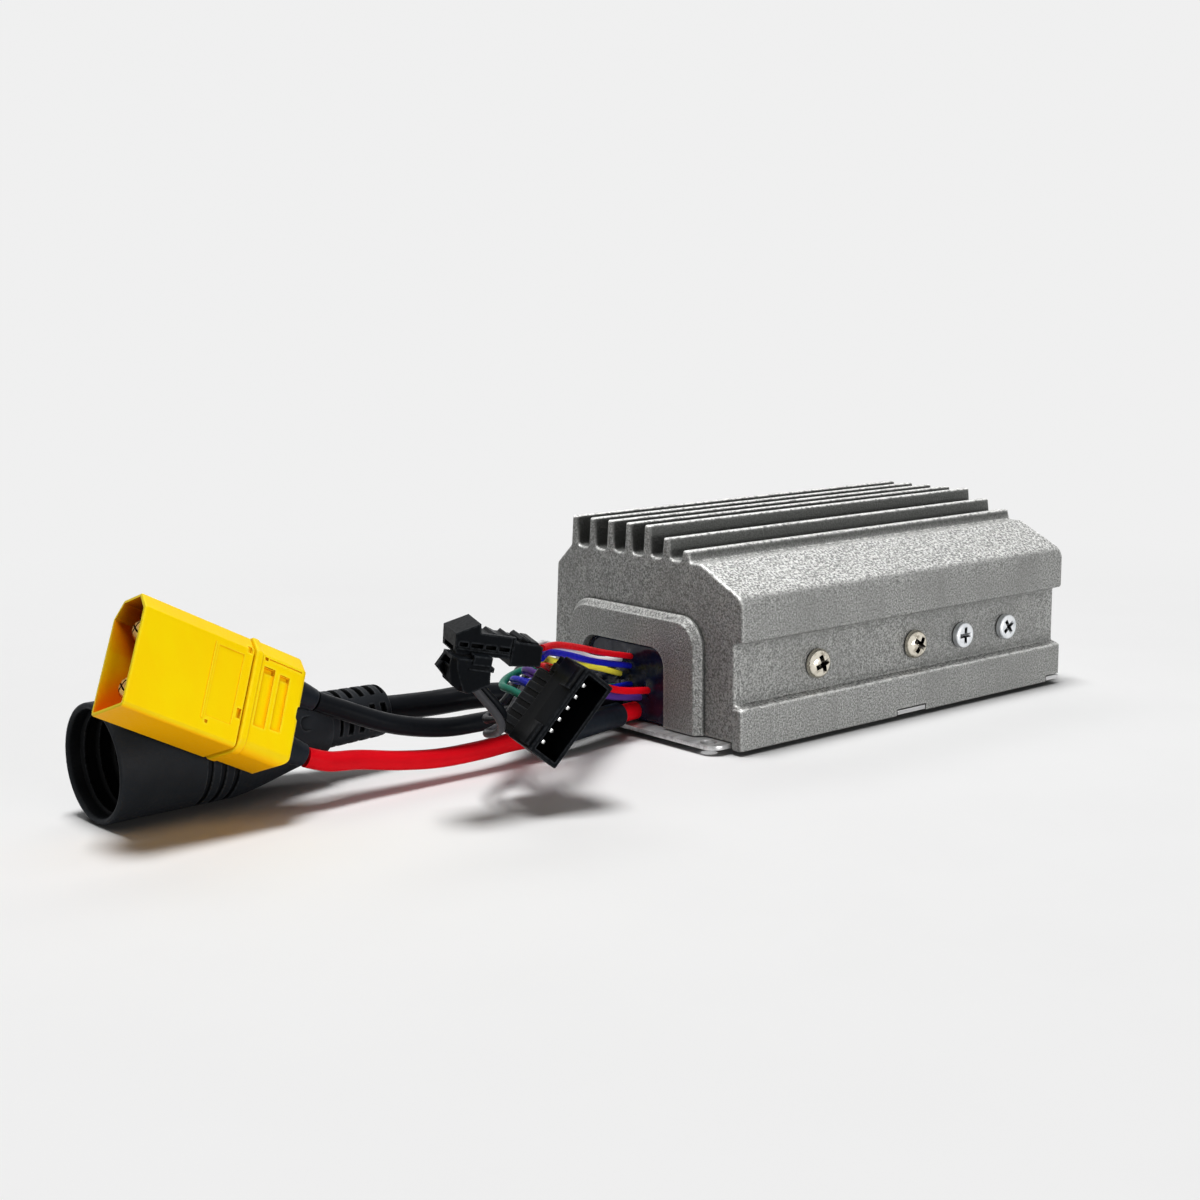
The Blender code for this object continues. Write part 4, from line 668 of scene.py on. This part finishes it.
def build_housing(looks):
    front = -LENGTH / 2
    below = RIM_Z - 4
    made = object_from("housing", prism(housing_corners(), front, -front, 0.6, 5))
    near, far, top = BOSS
    boss = [(near, below, 0), (near, top, BOSS_ROUND), (far, top, BOSS_ROUND), (far, below, 0)]
    stations = [(front + 1.5, 0.0), (front - 0.5, 0.0), (front - 0.65, 0.03), (front - 0.78, 0.13),
                (front - 1.9, 1.25), (front - 2.03, 1.37), (front - BOSS_RAISE, 1.55)]
    rings = [(x, rounded(offset_corners(boss, inset), 14)) for x, inset in stations]
    add(made, loft([[(x, p.x, p.y) for p in ring] for x, ring in rings]))
    side = -WIDTH / 2 + 0.02
    add(made, box((front - 0.35, side, RIM_Z + 0.02), (front + 2.0, side + 2.7, FLANGE_TOP_Z - 0.02), 0.5))
    half_length, half_width = PLATE_HALF
    recess_top = PLATE_Z[1] + GAP
    cut(made, box((-2 * half_length, -half_width - GAP, below - 1), (2 * half_length, half_width + GAP, recess_top)))
    for tab in TABS:
        cut(made, box((tab[0] - GAP, -WIDTH, below - 1), (tab[1] + GAP, -half_width + 1, recess_top)))
    cut(made, box(CAVITY_LOW, CAVITY_HIGH))
    cut(made, prism(tunnel_corners(0, below), front - 9, CAVITY_LOW[0] + 1, 0.0, 12))
    for x in SCREW_XS:
        cut(made, rod(-WIDTH, CAVITY_LOW[1] + 1, 1.7, "Y", (x, SCREW_Z)))
    for sx in (-1, 1):
        for sy in (-1, 1):
            cut(made, rod(below, 9.5, 1.7, "Z", (sx * PLATE_SCREWS[0], sy * PLATE_SCREWS[1])))
    return show(made, "finned_housing", looks["cast"], sharp=28.0)


def build_base_plate(looks):
    half, side = PLATE_HALF
    low, high = PLATE_Z
    corners = [(-half, -side, 3.0), (half, -side, 3.0), (half, side, 3.0), (-half, side, 3.0)]
    made = object_from("plate", loft([[(p.x, p.y, z) for p in rounded(offset_corners(corners, inset), 10)]
                                      for z, inset in edge_stations(low, high, 0.18, 2)]))
    for tab in TABS:
        add(made, box((tab[0], -WIDTH / 2, low + 0.01), (tab[1], -side + 1, high - 0.01), 0.12))
    for sx in (-1, 1):
        for sy in (-1, 1):
            cut(made, rod(0, high + 5, EAR_HOLES[2], "Z", (sx * EAR_HOLES[0], sy * EAR_HOLES[1])))
            cut(made, rod(0, high + 5, 1.7, "Z", (sx * PLATE_SCREWS[0], sy * PLATE_SCREWS[1])))
    return show(made, "base_plate", looks["plate"])


def cross_tool(top, reach, width, depth):
    """Two crossed wedges that narrow towards their tip, for a cross recess in a head that faces +X."""
    tools = []
    for flip in (False, True):
        sections = []
        for x, share in ((top + 1.0, 1.15), (top, 1.0), (top - 0.6 * depth, 0.72), (top - depth, 0.3)):
            long, wide = reach * share / 2, width * (0.55 + 0.45 * share) / 2
            half_y, half_z = (wide, long) if flip else (long, wide)
            sections.append([(x, -half_y, -half_z), (x, half_y, -half_z), (x, half_y, half_z), (x, -half_y, half_z)])
        tools.append(loft(sections))
    return tools


def build_screw(node, look, place, head, dome, shank_length, recess):
    radius, height = head[0] / 2, head[1]
    if dome:
        bends = [math.pi / 2 * k / 14 for k in range(15)]
        crown = [(0.0, radius - 0.12), (0.12, radius)]
        crown += [(0.25 + (height - 0.25) * math.sin(a), radius * math.cos(a) ** 0.62) for a in bends[:-1]]
        crown += [(height, 0)]
    else:
        crown = [(0, radius - 0.1), (0.1, radius), (height - 0.55, radius)]
        crown += [(height - 0.55 + 0.55 * math.sin(a), radius - 0.55 * (1 - math.cos(a)))
                  for a in (0.3, 0.7, 1.1, 1.4)]
        crown += [(height, radius - 0.9), (height, 0)]
    stem = [(-shank_length, 0), (-shank_length, 1.0), (-shank_length + 0.4, 1.4), (0, 1.4)]
    made = object_from("screw", turned(stem + crown, 64))
    cut(made, *cross_tool(height, *recess))
    return show(made, node, look, place, bevel=0.05, sharp=40.0)


def build_screws(looks):
    seat = PANEL_Y - GAP
    for i, x in enumerate(SCREW_XS):
        place = ((x, seat, SCREW_Z), (SCREW_TURNS[i], 0, -90))
        if i < 2:
            build_screw(f"side_screw_{i + 1}", looks["nickel"], place, (6.4, 2.0), True, 10.95, (4.3, 1.15, 1.4))
        else:
            build_screw(f"side_screw_{i + 1}", looks["zinc"], place, (5.8, 1.5), False, 10.95, (3.8, 0.95, 1.1))
    places = [(sx * PLATE_SCREWS[0], sy * PLATE_SCREWS[1]) for sx in (-1, 1) for sy in (-1, 1)]
    for i, (x, y) in enumerate(places):
        place = ((x, y, PLATE_Z[0] - GAP), (0, 90, 0))
        build_screw(f"plate_screw_{i + 1}", looks["zinc"], place, (5.6, PLATE_Z[0] - GAP), False, 8.0,
                    (3.2, 0.8, 0.6))


def build_potting(looks):
    """A resin plug whose face creeps up every cord that goes into it."""
    floor_z = PLATE_Z[1] + GAP
    ring = rounded(tunnel_corners(GAP, floor_z), 12)
    outline = []
    for p, q in zip(ring, ring[1:] + ring[:1]):
        steps = max(1, round((q - p).length / 0.8))
        outline += [p.lerp(q, k / steps) for k in range(steps)]
    middle = Vector((sum(TUNNEL[:2]) / 2, (floor_z + TUNNEL[2]) / 2))
    entries = [(Vector(points[-1][1:]), diameter / 2) for diameter, _, points in ROUTES.values()]

    def face_x(p):
        lift = 0.25 * noise.noise(Vector((p.x * 0.25, p.y * 0.25, 3.0)))
        for entry, radius in entries:
            away = max(0.0, (p - entry).length - radius)
            lift = max(lift, 0.75 * math.exp(-away / 0.7))
        return POTTING_X - lift

    sections = [[(CAVITY_LOW[0] - 0.5, p.x, p.y) for p in outline], [(POTTING_X + 0.3, p.x, p.y) for p in outline]]
    for k in range(26):
        share = 1.0 - k / 26.5
        ring = [middle.lerp(p, share) for p in outline]
        sections.append([(face_x(p) + 0.3 * max(0.0, 1 - k / 2), p.x, p.y) for p in ring])
    return show(object_from("resin", loft(sections)), "cable_potting", looks["potting"], sharp=60.0)


def plug_corners():
    return [(-5.3, -10.6, 0.9), (5.3, -10.6, 0.9), (5.3, 7.6, 0.5), (2.9, 10.6, 0.5), (-2.9, 10.6, 0.5),
            (-5.3, 7.6, 0.5)]


def side_boxes(face_y, spans):
    """Boxes that sink into both side faces of a plug: start, end, low, high and depth of each."""
    tools = []
    for side in (-1, 1):
        for start, end, low, high, depth in spans:
            near, far = sorted((side * (face_y - depth), side * (face_y + 1.5)))
            tools.append(box((start, near, low), (end, far, high)))
    return tools


def build_battery_plug(looks):
    yellow = looks["yellow_plastic"]
    body = object_from("body", prism(plug_corners(), 0.05, 22.5, 0.22, 5))
    cut(body, prism(offset_corners(plug_corners(), 0.6), -1, 14.0, 0.0, 5))
    for z in (5.4, -5.4):
        cut(body, rod(13, 18.3, 2.55, "X", (0, z)))
    cut(body, *side_boxes(5.3, ((15.4, 20.6, -7.0, 6.2, 0.12), (21.2, 22.1, 6.9, 8.2, 0.8),
                                (21.3, 22.2, -5.4, -3.6, 0.8), (15.5, 16.1, -8.3, -7.7, 0.6))))
    add(body, box((14.6, -5.42, -7.6), (14.9, 5.42, 6.6)))
    show(body, "battery_plug_body", yellow, PLUG_FRAME, bevel=0.08)

    start, end = 22.8, 34.0
    outline = [(y, z, 2.2 if z < 0 else radius) for y, z, radius in plug_corners()]
    cover = object_from("cover", prism(offset_corners(outline, -0.15), start + 0.1, end, 0.9, 6))
    add(cover, prism(offset_corners(outline, -0.45), start, start + 1.5, 0.35, 6))
    arc = [(31.2 + 2.8 * math.cos(a), -8.0 + 2.8 * math.sin(a)) for a in (-math.pi / 2 * k / 8 for k in range(9))]
    outside = [(36.0, -8.0), *arc, (31.2, -13.0), (36.0, -13.0)]
    cut(cover, loft([[(x, y, z) for x, z in outside] for y in (-9, 9)]))
    for z in (5.4, -5.4):
        cut(cover, rod(end - 3.4, end + 1, 3.0, "X", (0, z)))
    cut(cover, *side_boxes(5.45, ((24.9, 27.3, -5.6, 5.6, 0.41), (28.4, 30.5, -5.2, 5.2, 0.38),
                                  (25.0, 27.2, 4.5, 5.5, 1.0), (28.5, 30.4, 4.3, 5.1, 0.9),
                                  (24.75, 25.5, 6.7, 7.3, 0.8), (25.7, 32.8, 7.0, 7.25, 0.35))))
    notch = [(33.2, -1.5, 0.5), (35.5, -2.6, 0), (35.5, 1.8, 0), (33.2, 0.7, 0.5)]
    cut(cover, loft([[(p.x, y, p.y) for p in rounded(notch, 4)] for y in (-9, 9)]))
    show(cover, "battery_plug_cover", yellow, PLUG_FRAME, bevel=0.08)

    for name, z in (("upper", 5.4), ("lower", -5.4)):
        profile = [(1.7, 0), (1.7, 0.9), (1.85, 1.25), (2.3, 1.75), (2.9, 2.1), (3.7, 2.2), (12.6, 2.25),
                   (12.9, 2.05), (13.3, 2.05), (13.6, 2.25), (18.0, 2.25), (18.0, 0)]
        pin = object_from("pin", turned(profile, 64))
        for flip in (0, math.pi / 2):
            slit = box((1, -0.2, -4), (11, 0.2, 4))
            bmesh.ops.rotate(slit, matrix=Matrix.Rotation(flip + math.pi / 4, 3, "X"), verts=slit.verts)
            cut(pin, slit)
        pin.data.transform(Matrix.Translation((0, 0, z)))
        show(pin, f"battery_pin_{name}", looks["gold"], PLUG_FRAME, bevel=0.04)
        profile = [(30.9, 0), (30.9, 2.7)]
        for k in range(25):
            share = k / 24
            swell = 2.7 - 0.55 * max(0.0, share - 0.55) / 0.45
            profile.append((31.2 + 8.1 * share, swell))
        profile += [(39.5, 2.1), (39.5, 1.95), (39.5, 0)]

        def crumple(x, angle):
            return 0.06 * noise.noise(Vector((x * 0.9, 2.2 * math.cos(angle), 2.2 * math.sin(angle) + z)))

        shrink = object_from("shrink", turned(profile, 64, crumple))
        shrink.data.transform(Matrix.Translation((0, 0, z)))
        show(shrink, f"heat_shrink_{name}", looks["shrink"], PLUG_FRAME, sharp=50.0)


def build_motor_connector(looks):
    rubber = looks["connector_rubber"]
    rim, bore = 11.0, 9.8
    profile = [(22.0, 0), (22.0, bore)]
    for x in (9.0, 6.0, 3.0):
        profile += [(x + 0.75, bore), (x + 0.6, bore - 0.25), (x + 0.3, bore - 0.48), (x + 0.05, bore - 0.48),
                    (x - 0.2, bore - 0.25), (x - 0.5, bore)]
    profile += [(0.7, bore), (0.25, bore + 0.12), (0.05, bore + 0.4), (0.0, bore + 0.6), (0.0, rim - 0.55),
                (0.08, rim - 0.3), (0.25, rim - 0.1), (0.6, rim)]
    for x in (17.5, 20.3, 23.1):
        profile += [(x - 0.62, rim), (x - 0.52, rim - 0.1), (x - 0.42, rim - 0.45), (x - 0.3, rim - 0.5),
                    (x + 0.3, rim - 0.5), (x + 0.42, rim - 0.45), (x + 0.52, rim - 0.1), (x + 0.62, rim)]
    for k in range(25):
        share = k / 24
        ease = (share + share * share * (3 - 2 * share)) / 2
        profile.append((25.5 + 21.0 * share, rim - 4.0 * ease - 0.45 * max(0.0, share - 0.94) / 0.06))
    profile += [(46.5, 0)]
    shell = object_from("shell", turned(profile, 112))
    oval = [(38.2, -1.3, 1.2), (44.2, -1.3, 1.2), (44.2, 1.3, 1.2), (38.2, 1.3, 1.2)]
    for side in (-1, 1):
        start, end = sorted((side * 7.75, side * 12.0))
        tool = loft([[(p.x, y, p.y) for p in rounded(oval, 8)] for y in (start, end)])
        bmesh.ops.rotate(tool, matrix=Matrix.Rotation(math.radians(-15), 3, "X"), verts=tool.verts)
        cut(shell, tool)
    show(shell, "motor_connector_shell", rubber, MOTOR_FRAME, sharp=40.0)

    profile = [(15.5, 0), (15.5, 8.6), (15.65, 8.95), (15.9, 9.1), (21.7, 9.1), (21.7, 0)]
    insert = object_from("insert", turned(profile, 95))
    for k in range(3):
        angle = math.pi / 2 + 2 * math.pi * k / 3
        across = (4.6 * math.cos(angle), 4.6 * math.sin(angle))
        cut(insert, rod(14.5, 18.5, 1.9, "X", across))
        profile = [(7.5, 0), (7.5, 0.7), (7.6, 1.0), (7.9, 1.35), (8.4, 1.6), (18.2, 1.6), (18.2, 0)]
        pin = object_from("phase", turned(profile, 48))
        cut(pin, box((7, -0.14, -3), (13, 0.14, 3)))
        pin.data.transform(Matrix.Translation((0, *across)))
        show(pin, f"motor_pin_{k + 1}", looks["gold"], MOTOR_FRAME, bevel=0.04)
    show(insert, "motor_connector_insert", rubber, MOTOR_FRAME, bevel=0.08)

    start, end = 46.8, 61.6

    def slots(x, angle):
        """Ribs on top and underneath, and short windows along both sides between them."""
        turn = math.degrees(angle) % 360
        upright = min(abs(turn - 90), abs(turn - 270))
        along = (x - start - 1.9) / 2.6
        phase = along % 1.0 if upright < 45 else (along + 0.5) % 1.0
        if not 0 <= along < 4.6 or not 0.3 < phase < 0.75:
            return 0.0
        from_middle = upright if upright < 45 else abs(90 - upright)
        reach = 38 if upright < 45 else 30
        return 0.95 * max(0.0, min(1.0, (reach - from_middle) / 5))

    profile = [(start, 0), (start, 5.35), (start + 0.25, 5.6)]
    for k in range(1, 121):
        share = k / 121
        profile.append((start + 0.25 + 13.2 * share, 5.6 - 0.35 * share))
    for k in range(1, 8):
        bend = math.pi / 2 * k / 8
        profile.append((end - 1.35 + 1.3 * math.sin(bend), 5.25 - 1.3 * (1 - math.cos(bend))))
    profile += [(end, 3.8), (end, 0)]
    relief = object_from("relief", turned(profile, 120, slots))
    show(relief, "motor_strain_relief", rubber, MOTOR_FRAME, sharp=40.0)


def section_loft(sections):
    """A body through side outlines (x, z), each at its own y. Its sides aren't flat, so they are split."""
    bm = loft([[(x, y, z) for x, z in outline] for y, outline in sections])
    bmesh.ops.triangulate(bm, faces=bm.faces)
    return bm


def build_signal_plug(looks):
    """The upper plug: sloped hood, body with four windows, wire block and a latch with saw teeth."""
    black = looks["signal_plastic"]
    outline = [(1.75, 2.6), (2.35, -1.0), (13.3, -0.8), (13.3, 3.2), (6.45, 3.2), (6.1, 4.95)]
    body = object_from("body", slab(outline, -3.5, 3.5, 0.12))
    add(body, slab([(12.9, -2.1), (18.9, -1.5), (18.65, 2.1), (17.9, 2.45), (12.9, 2.45)], -3.6, 3.6, 0.15))
    add(body, slab([(14.1, 1.9), (16.9, 1.9), (16.8, 2.5), (14.75, 3.35), (14.25, 2.9)], -2.5, 2.5, 0.12))
    add(body, slab([(16.3, 2.2), (18.0, 2.2), (17.7, 2.75), (16.4, 2.8)], -3.1, 3.1, 0.12))
    cut(body, box((6.8, -2.6, 1.8), (13.9, 2.6, 8.0)))
    cut(body, box((6.9, 2.0, 2.3), (13.9, 4.5, 8.0)))
    add(body, box((9.15, -2.2, 1.3), (10.15, 2.2, 2.1)))
    for side in (-1, 1):
        low_y, high_y = sorted((side * 3.3, side * 3.72))
        add(body, box((2.45, low_y, -0.16), (12.9, high_y, 0.14), 0.06))
        low_y, high_y = sorted((side * 2.2, side * 4.0))
        for left, right in ((2.85, 4.4), (5.1, 7.3), (7.85, 9.8), (10.4, 12.4)):
            cut(body, box((left, low_y, 0.45), (right, high_y, 1.2)))
        low_y, high_y = sorted((side * 3.3, side * 4.0))
        cut(body, box((12.62, low_y, -3.0), (12.84, high_y, 3.0)))
    cut(body, box((0.0, -2.4, -0.75), (5.0, 2.4, 0.15)))
    for y, z in ((-1.4, 1.45), (-1.4, -0.45), (1.5, -0.7), (1.5, 1.1)):
        cut(body, rod(18.0, 19.6, 0.78, "X", (y, z), 32))
    show(body, "signal_plug_housing", black, SIGNAL_FRAME, bevel=0.05)

    teeth = [(7.1, 2.35), (13.5, 2.35), (13.5, 2.7), (12.0, 3.4), (11.6, 2.9), (10.9, 2.85), (9.2, 3.4),
             (8.75, 2.9), (7.1, 2.8)]
    latch = object_from("latch", slab(teeth, -2.2, 2.2, 0.12))
    show(latch, "signal_plug_latch", black, SIGNAL_FRAME, "latch")


def build_small_plug(looks):
    """The lower plug, drawn in the upper plug's frame: facetted nose, raised panel and a lug."""
    full = [(1.5, -1.2), (1.45, -3.3), (2.35, -6.3), (4.0, -7.3), (5.6, -7.6), (9.4, -5.4), (8.7, -1.2)]
    near = [(2.1, -1.2), (2.5, -2.9), (3.7, -5.5), (4.5, -7.1), (5.6, -7.4), (9.2, -5.35), (8.55, -1.3)]
    body = object_from("small", section_loft([(0.0, full), (-4.6, full), (-5.7, near)]))
    guide = [(0.2, -4.1), (1.6, -1.15), (4.6, -1.5), (4.6, -6.0), (4.1, -7.5)]
    add(body, slab(guide, -1.7, -0.3, 0.1))
    add(body, box((5.1, -6.05, -2.05), (8.6, -3.8, -0.35), 0.12))
    add(body, box((8.3, -5.3, -3.2), (9.6, -3.2, -2.3), 0.12))
    add(body, box((4.6, -5.85, -3.1), (8.4, -5.4, -2.75), 0.06))
    cut(body, box((0.5, -4.2, -3.0), (3.6, -1.2, -1.8)))
    show(body, "small_plug_housing", looks["signal_plastic"], SIGNAL_FRAME, bevel=0.12)


def build_receptacle(looks):
    """The six-way receptacle: a shell round its pins, with a row of contact locks behind it."""
    shell = object_from("shell", box((6.5, -9.0, -3.5), (15.0, 9.0, 3.5), 0.3))
    add(shell, box((0.0, -8.7, -3.0), (7.2, 5.0, 2.6), 0.2))
    add(shell, box((3.6, 4.2, -3.0), (7.2, 8.7, 2.6), 0.2))
    for k in range(6):
        y = (k - 2.5) * 2.5
        start = 0.5 if y < 5 else 3.9
        add(shell, slab([(start, 2.2), (7.0, 2.2), (7.0, 3.4), (start + 0.9, 3.4), (start, 3.0)], y - 0.72, y + 0.72, 0.12))
        cut(shell, rod(start - 2.0, start + 1.5, 0.85, "X", (y, 0.0), 32))
    add(shell, slab([(8.6, 3.2), (14.2, 3.2), (13.9, 4.1), (12.9, 4.1)], 3.9, 8.5, 0.12))
    add(shell, slab([(8.6, 3.2), (14.2, 3.2), (13.9, 4.0), (12.9, 4.0)], -8.5, -3.9, 0.12))
    cut(shell, box((6.0, -8.1, -2.6), (17.0, 8.1, 2.6)))
    show(shell, "receptacle_housing", looks["signal_plastic"], RECEPTACLE_FRAME, bevel=0.07)
    for k in range(6):
        y = (k - 2.5) * 2.5
        corners = ((-1, -1), (1, -1), (1, 1), (-1, 1))
        pin = object_from("blade", loft([[(x, y + sy * half, sz * half) for sy, sz in corners]
                                         for x, half in ((4.3, 0.44), (11.5, 0.44), (12.0, 0.34))]))
        show(pin, f"signal_pin_{k + 1}", looks["tin"], RECEPTACLE_FRAME, bevel=0.06)


def smooth_route(points, count):
    """Evenly spaced points on a smooth curve through the route's own points."""
    knots = [Vector(p) for p in points]
    knots = [2 * knots[0] - knots[1]] + knots + [2 * knots[-1] - knots[-2]]
    fine = []
    for a, b, c, d in zip(knots, knots[1:], knots[2:], knots[3:]):
        for k in range(24):
            t = k / 24
            fine.append(0.5 * (2 * b + (c - a) * t + (2 * a - 5 * b + 4 * c - d) * t ** 2
                               + (3 * b - a - 3 * c + d) * t ** 3))
    fine.append(knots[-2])
    steps = [(q - p).length for p, q in zip(fine, fine[1:])]
    total = sum(steps)
    route = [fine[0]]
    travelled = 0.0
    for p, q, step in zip(fine, fine[1:], steps):
        while len(route) < count and travelled + step >= total * len(route) / count:
            route.append(p.lerp(q, (total * len(route) / count - travelled) / step))
        travelled += step
    return route + [fine[-1]], total


def build_cords(looks):
    cords = {}
    for node, (diameter, colour, points) in ROUTES.items():
        route, length = smooth_route(points, CORD_POINTS)
        curve = bpy.data.curves.new(f"{node}_line", "CURVE")
        curve.dimensions = "3D"
        curve.bevel_depth = diameter / 2 * MM
        curve.bevel_resolution = 6
        curve.resolution_u = 4
        curve.use_fill_caps = True
        spline = curve.splines.new("BEZIER")
        spline.bezier_points.add(len(route) - 1)
        for spot, point in zip(spline.bezier_points, route):
            spot.co = point * MM
            spot.handle_left_type = "AUTO"
            spot.handle_right_type = "AUTO"
        curve.materials.append(looks[f"insulation_{colour}"])
        made = bpy.data.objects.new(f"{node}_line", curve)
        SCENE.collection.objects.link(made)
        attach(made, "controller")
        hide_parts(node)
        cords[node] = (made, length)
    return cords


def build_sleeve(looks):
    """A thin sleeve with a slightly uneven skin round the end of the red battery lead."""
    route, _ = smooth_route(ROUTES["battery_lead_red"][2], 160)
    inside = [p for p in route if SLEEVE_X[0] < p.x < SLEEVE_X[1]]
    last = len(inside) - 1
    stations = [(0, 2.2), (0, 2.55)] + [(i, 2.65) for i in range(last + 1)] + [(last, 2.55), (last, 2.2)]
    stations += [(i, 2.2) for i in reversed(range(1, last))]
    bm = bmesh.new()
    rings = []
    sides = 40
    for i, radius in stations:
        along = (inside[min(i + 1, last)] - inside[max(i - 1, 0)]).normalized()
        across = along.cross(Vector((0, 0, 1))).normalized()
        rise = across.cross(along)
        ring = []
        for k in range(sides):
            angle = 2 * math.pi * k / sides
            out = math.cos(angle) * across + math.sin(angle) * rise
            dent = 0.08 * noise.noise(inside[i] * 0.5 + out) if radius > 2.6 else 0.0
            end = 0.12 if radius == 2.65 and i in (0, last) else 0.0
            nudge = along * (end if i == 0 else -end)
            ring.append(bm.verts.new(inside[i] + nudge + (radius - abs(dent)) * out))
        rings.append(ring)
    for near, far in zip(rings, rings[1:] + rings[:1]):
        for k in range(sides):
            j = (k + 1) % sides
            bm.faces.new((near[k], near[j], far[j], far[k]))
    return show(object_from("sleeve", bm), "battery_lead_sleeve", looks["shrink"], sharp=50.0)


def dress_hidden_nodes(looks):
    for node, made in frame["nodes"].items():
        if not made.hide_render:
            made.data.materials.clear()
            made.data.materials.append(looks[SLOTS[node]])


def seen_directly(look):
    """1 for rays that show the background as it is: from the camera, in gloss and through glass."""
    path = look.add("ShaderNodeLightPath").outputs
    glass = look.math("MAXIMUM", path["Is Glossy Ray"], path["Is Transmission Ray"])
    return look.math("MAXIMUM", path["Is Camera Ray"], glass)


def make_floor():
    bm = bmesh.new()
    rings = [0.0, 0.3, 0.6, 1.2, 2.5, 6.0, 14.0]
    sides = 64
    previous = [bm.verts.new((0, 0, 0))]
    for radius in rings[1:]:
        ring = [bm.verts.new((radius * math.cos(2 * math.pi * k / sides), radius * math.sin(2 * math.pi * k / sides),
                              0)) for k in range(sides)]
        for k in range(sides):
            quad = [previous[k % len(previous)], ring[k], ring[(k + 1) % sides], previous[(k + 1) % len(previous)]]
            bm.faces.new(list(dict.fromkeys(quad)))
        previous = ring
    mesh = bpy.data.meshes.new("floor")
    bm.to_mesh(mesh)
    bm.free()
    floor = bpy.data.objects.new("floor", mesh)
    SCENE.collection.objects.link(floor)
    floor.location = (-0.05, 0.0, 0.0)

    look = Look("studio_floor", Roughness=0.9)
    look.put(look.shader.inputs["Specular IOR Level"], 0.0)
    direct = seen_directly(look)
    paper = look.remap(look.noise(30, 3), 0.3, 0.7)
    white = look.blend(paper, shade(FLOOR_WHITE[:3], 0.99), FLOOR_WHITE[:3])
    # Painted contact shadow: the floor darkens to near black where objects sit close above it.
    near = look.add("ShaderNodeAmbientOcclusion", {"Distance": 0.012}).outputs["AO"]
    white = look.blend(look.remap(near, 0.75, 0.1, 0.0, 0.75), white, (0.03, 0.03, 0.03))
    look.finish(look.blend(direct, FLOOR_BOUNCE[:3], white))
    away = look.add("ShaderNodeVectorMath", {0: look.place}, operation="LENGTH").outputs["Value"]
    fade = look.remap(away, 0.12, 0.34)
    glow = look.add("ShaderNodeEmission", {"Color": BACKGROUND, "Strength": look.remap(direct, 0, 1, AMBIENT, 1.0)})
    mixed = look.add("ShaderNodeMixShader", {0: fade, 1: look.shader.outputs["BSDF"], 2: glow.outputs["Emission"]})
    output = look.nodes["Material Output"]
    look.links.new(mixed.outputs["Shader"], output.inputs["Surface"])
    mesh.materials.append(look.material)


def make_world():
    world = bpy.data.worlds.new("studio")
    world.use_nodes = True
    SCENE.world = world
    nodes, links = world.node_tree.nodes, world.node_tree.links
    path = nodes.new("ShaderNodeLightPath").outputs
    glass = nodes.new("ShaderNodeMath")
    glass.operation = "MAXIMUM"
    links.new(path["Is Glossy Ray"], glass.inputs[0])
    links.new(path["Is Transmission Ray"], glass.inputs[1])
    direct = nodes.new("ShaderNodeMath")
    direct.operation = "MAXIMUM"
    links.new(path["Is Camera Ray"], direct.inputs[0])
    links.new(glass.outputs["Value"], direct.inputs[1])
    strength = nodes.new("ShaderNodeMapRange")
    strength.inputs["To Min"].default_value = AMBIENT
    links.new(direct.outputs["Value"], strength.inputs["Value"])
    background = nodes["Background"]
    background.inputs["Color"].default_value = BACKGROUND
    links.new(strength.outputs["Result"], background.inputs["Strength"])


def make_lamp(name, place, size, power, target=(-0.04, 0.0, 0.015)):
    data = bpy.data.lights.new(name, "AREA")
    data.shape = "RECTANGLE"
    data.size, data.size_y = size
    data.energy = power
    lamp = bpy.data.objects.new(name, data)
    lamp.location = place
    lamp.rotation_euler = (Vector(target) - Vector(place)).to_track_quat("-Z", "Y").to_euler()
    SCENE.collection.objects.link(lamp)


def main():
    for old in list(SCENE.objects):
        if old.type in ("CAMERA", "LIGHT"):
            bpy.data.objects.remove(old, do_unlink=True)
    make_camera()
    looks = make_looks()
    cords = build_cords(looks)
    build_sleeve(looks)
    build_housing(looks)
    build_base_plate(looks)
    build_screws(looks)
    build_potting(looks)
    build_battery_plug(looks)
    build_motor_connector(looks)
    build_signal_plug(looks)
    build_small_plug(looks)
    build_receptacle(looks)
    dress_hidden_nodes(looks)
    make_floor()
    make_world()
    make_lamp("key", KEY_PLACE, KEY_SIZE, KEY_POWER)
    make_lamp("fill", FILL_PLACE, FILL_SIZE, FILL_POWER)
    make_lamp("rim", RIM_PLACE, RIM_SIZE, RIM_POWER)
    SCENE.view_settings.view_transform = "Standard"


main()
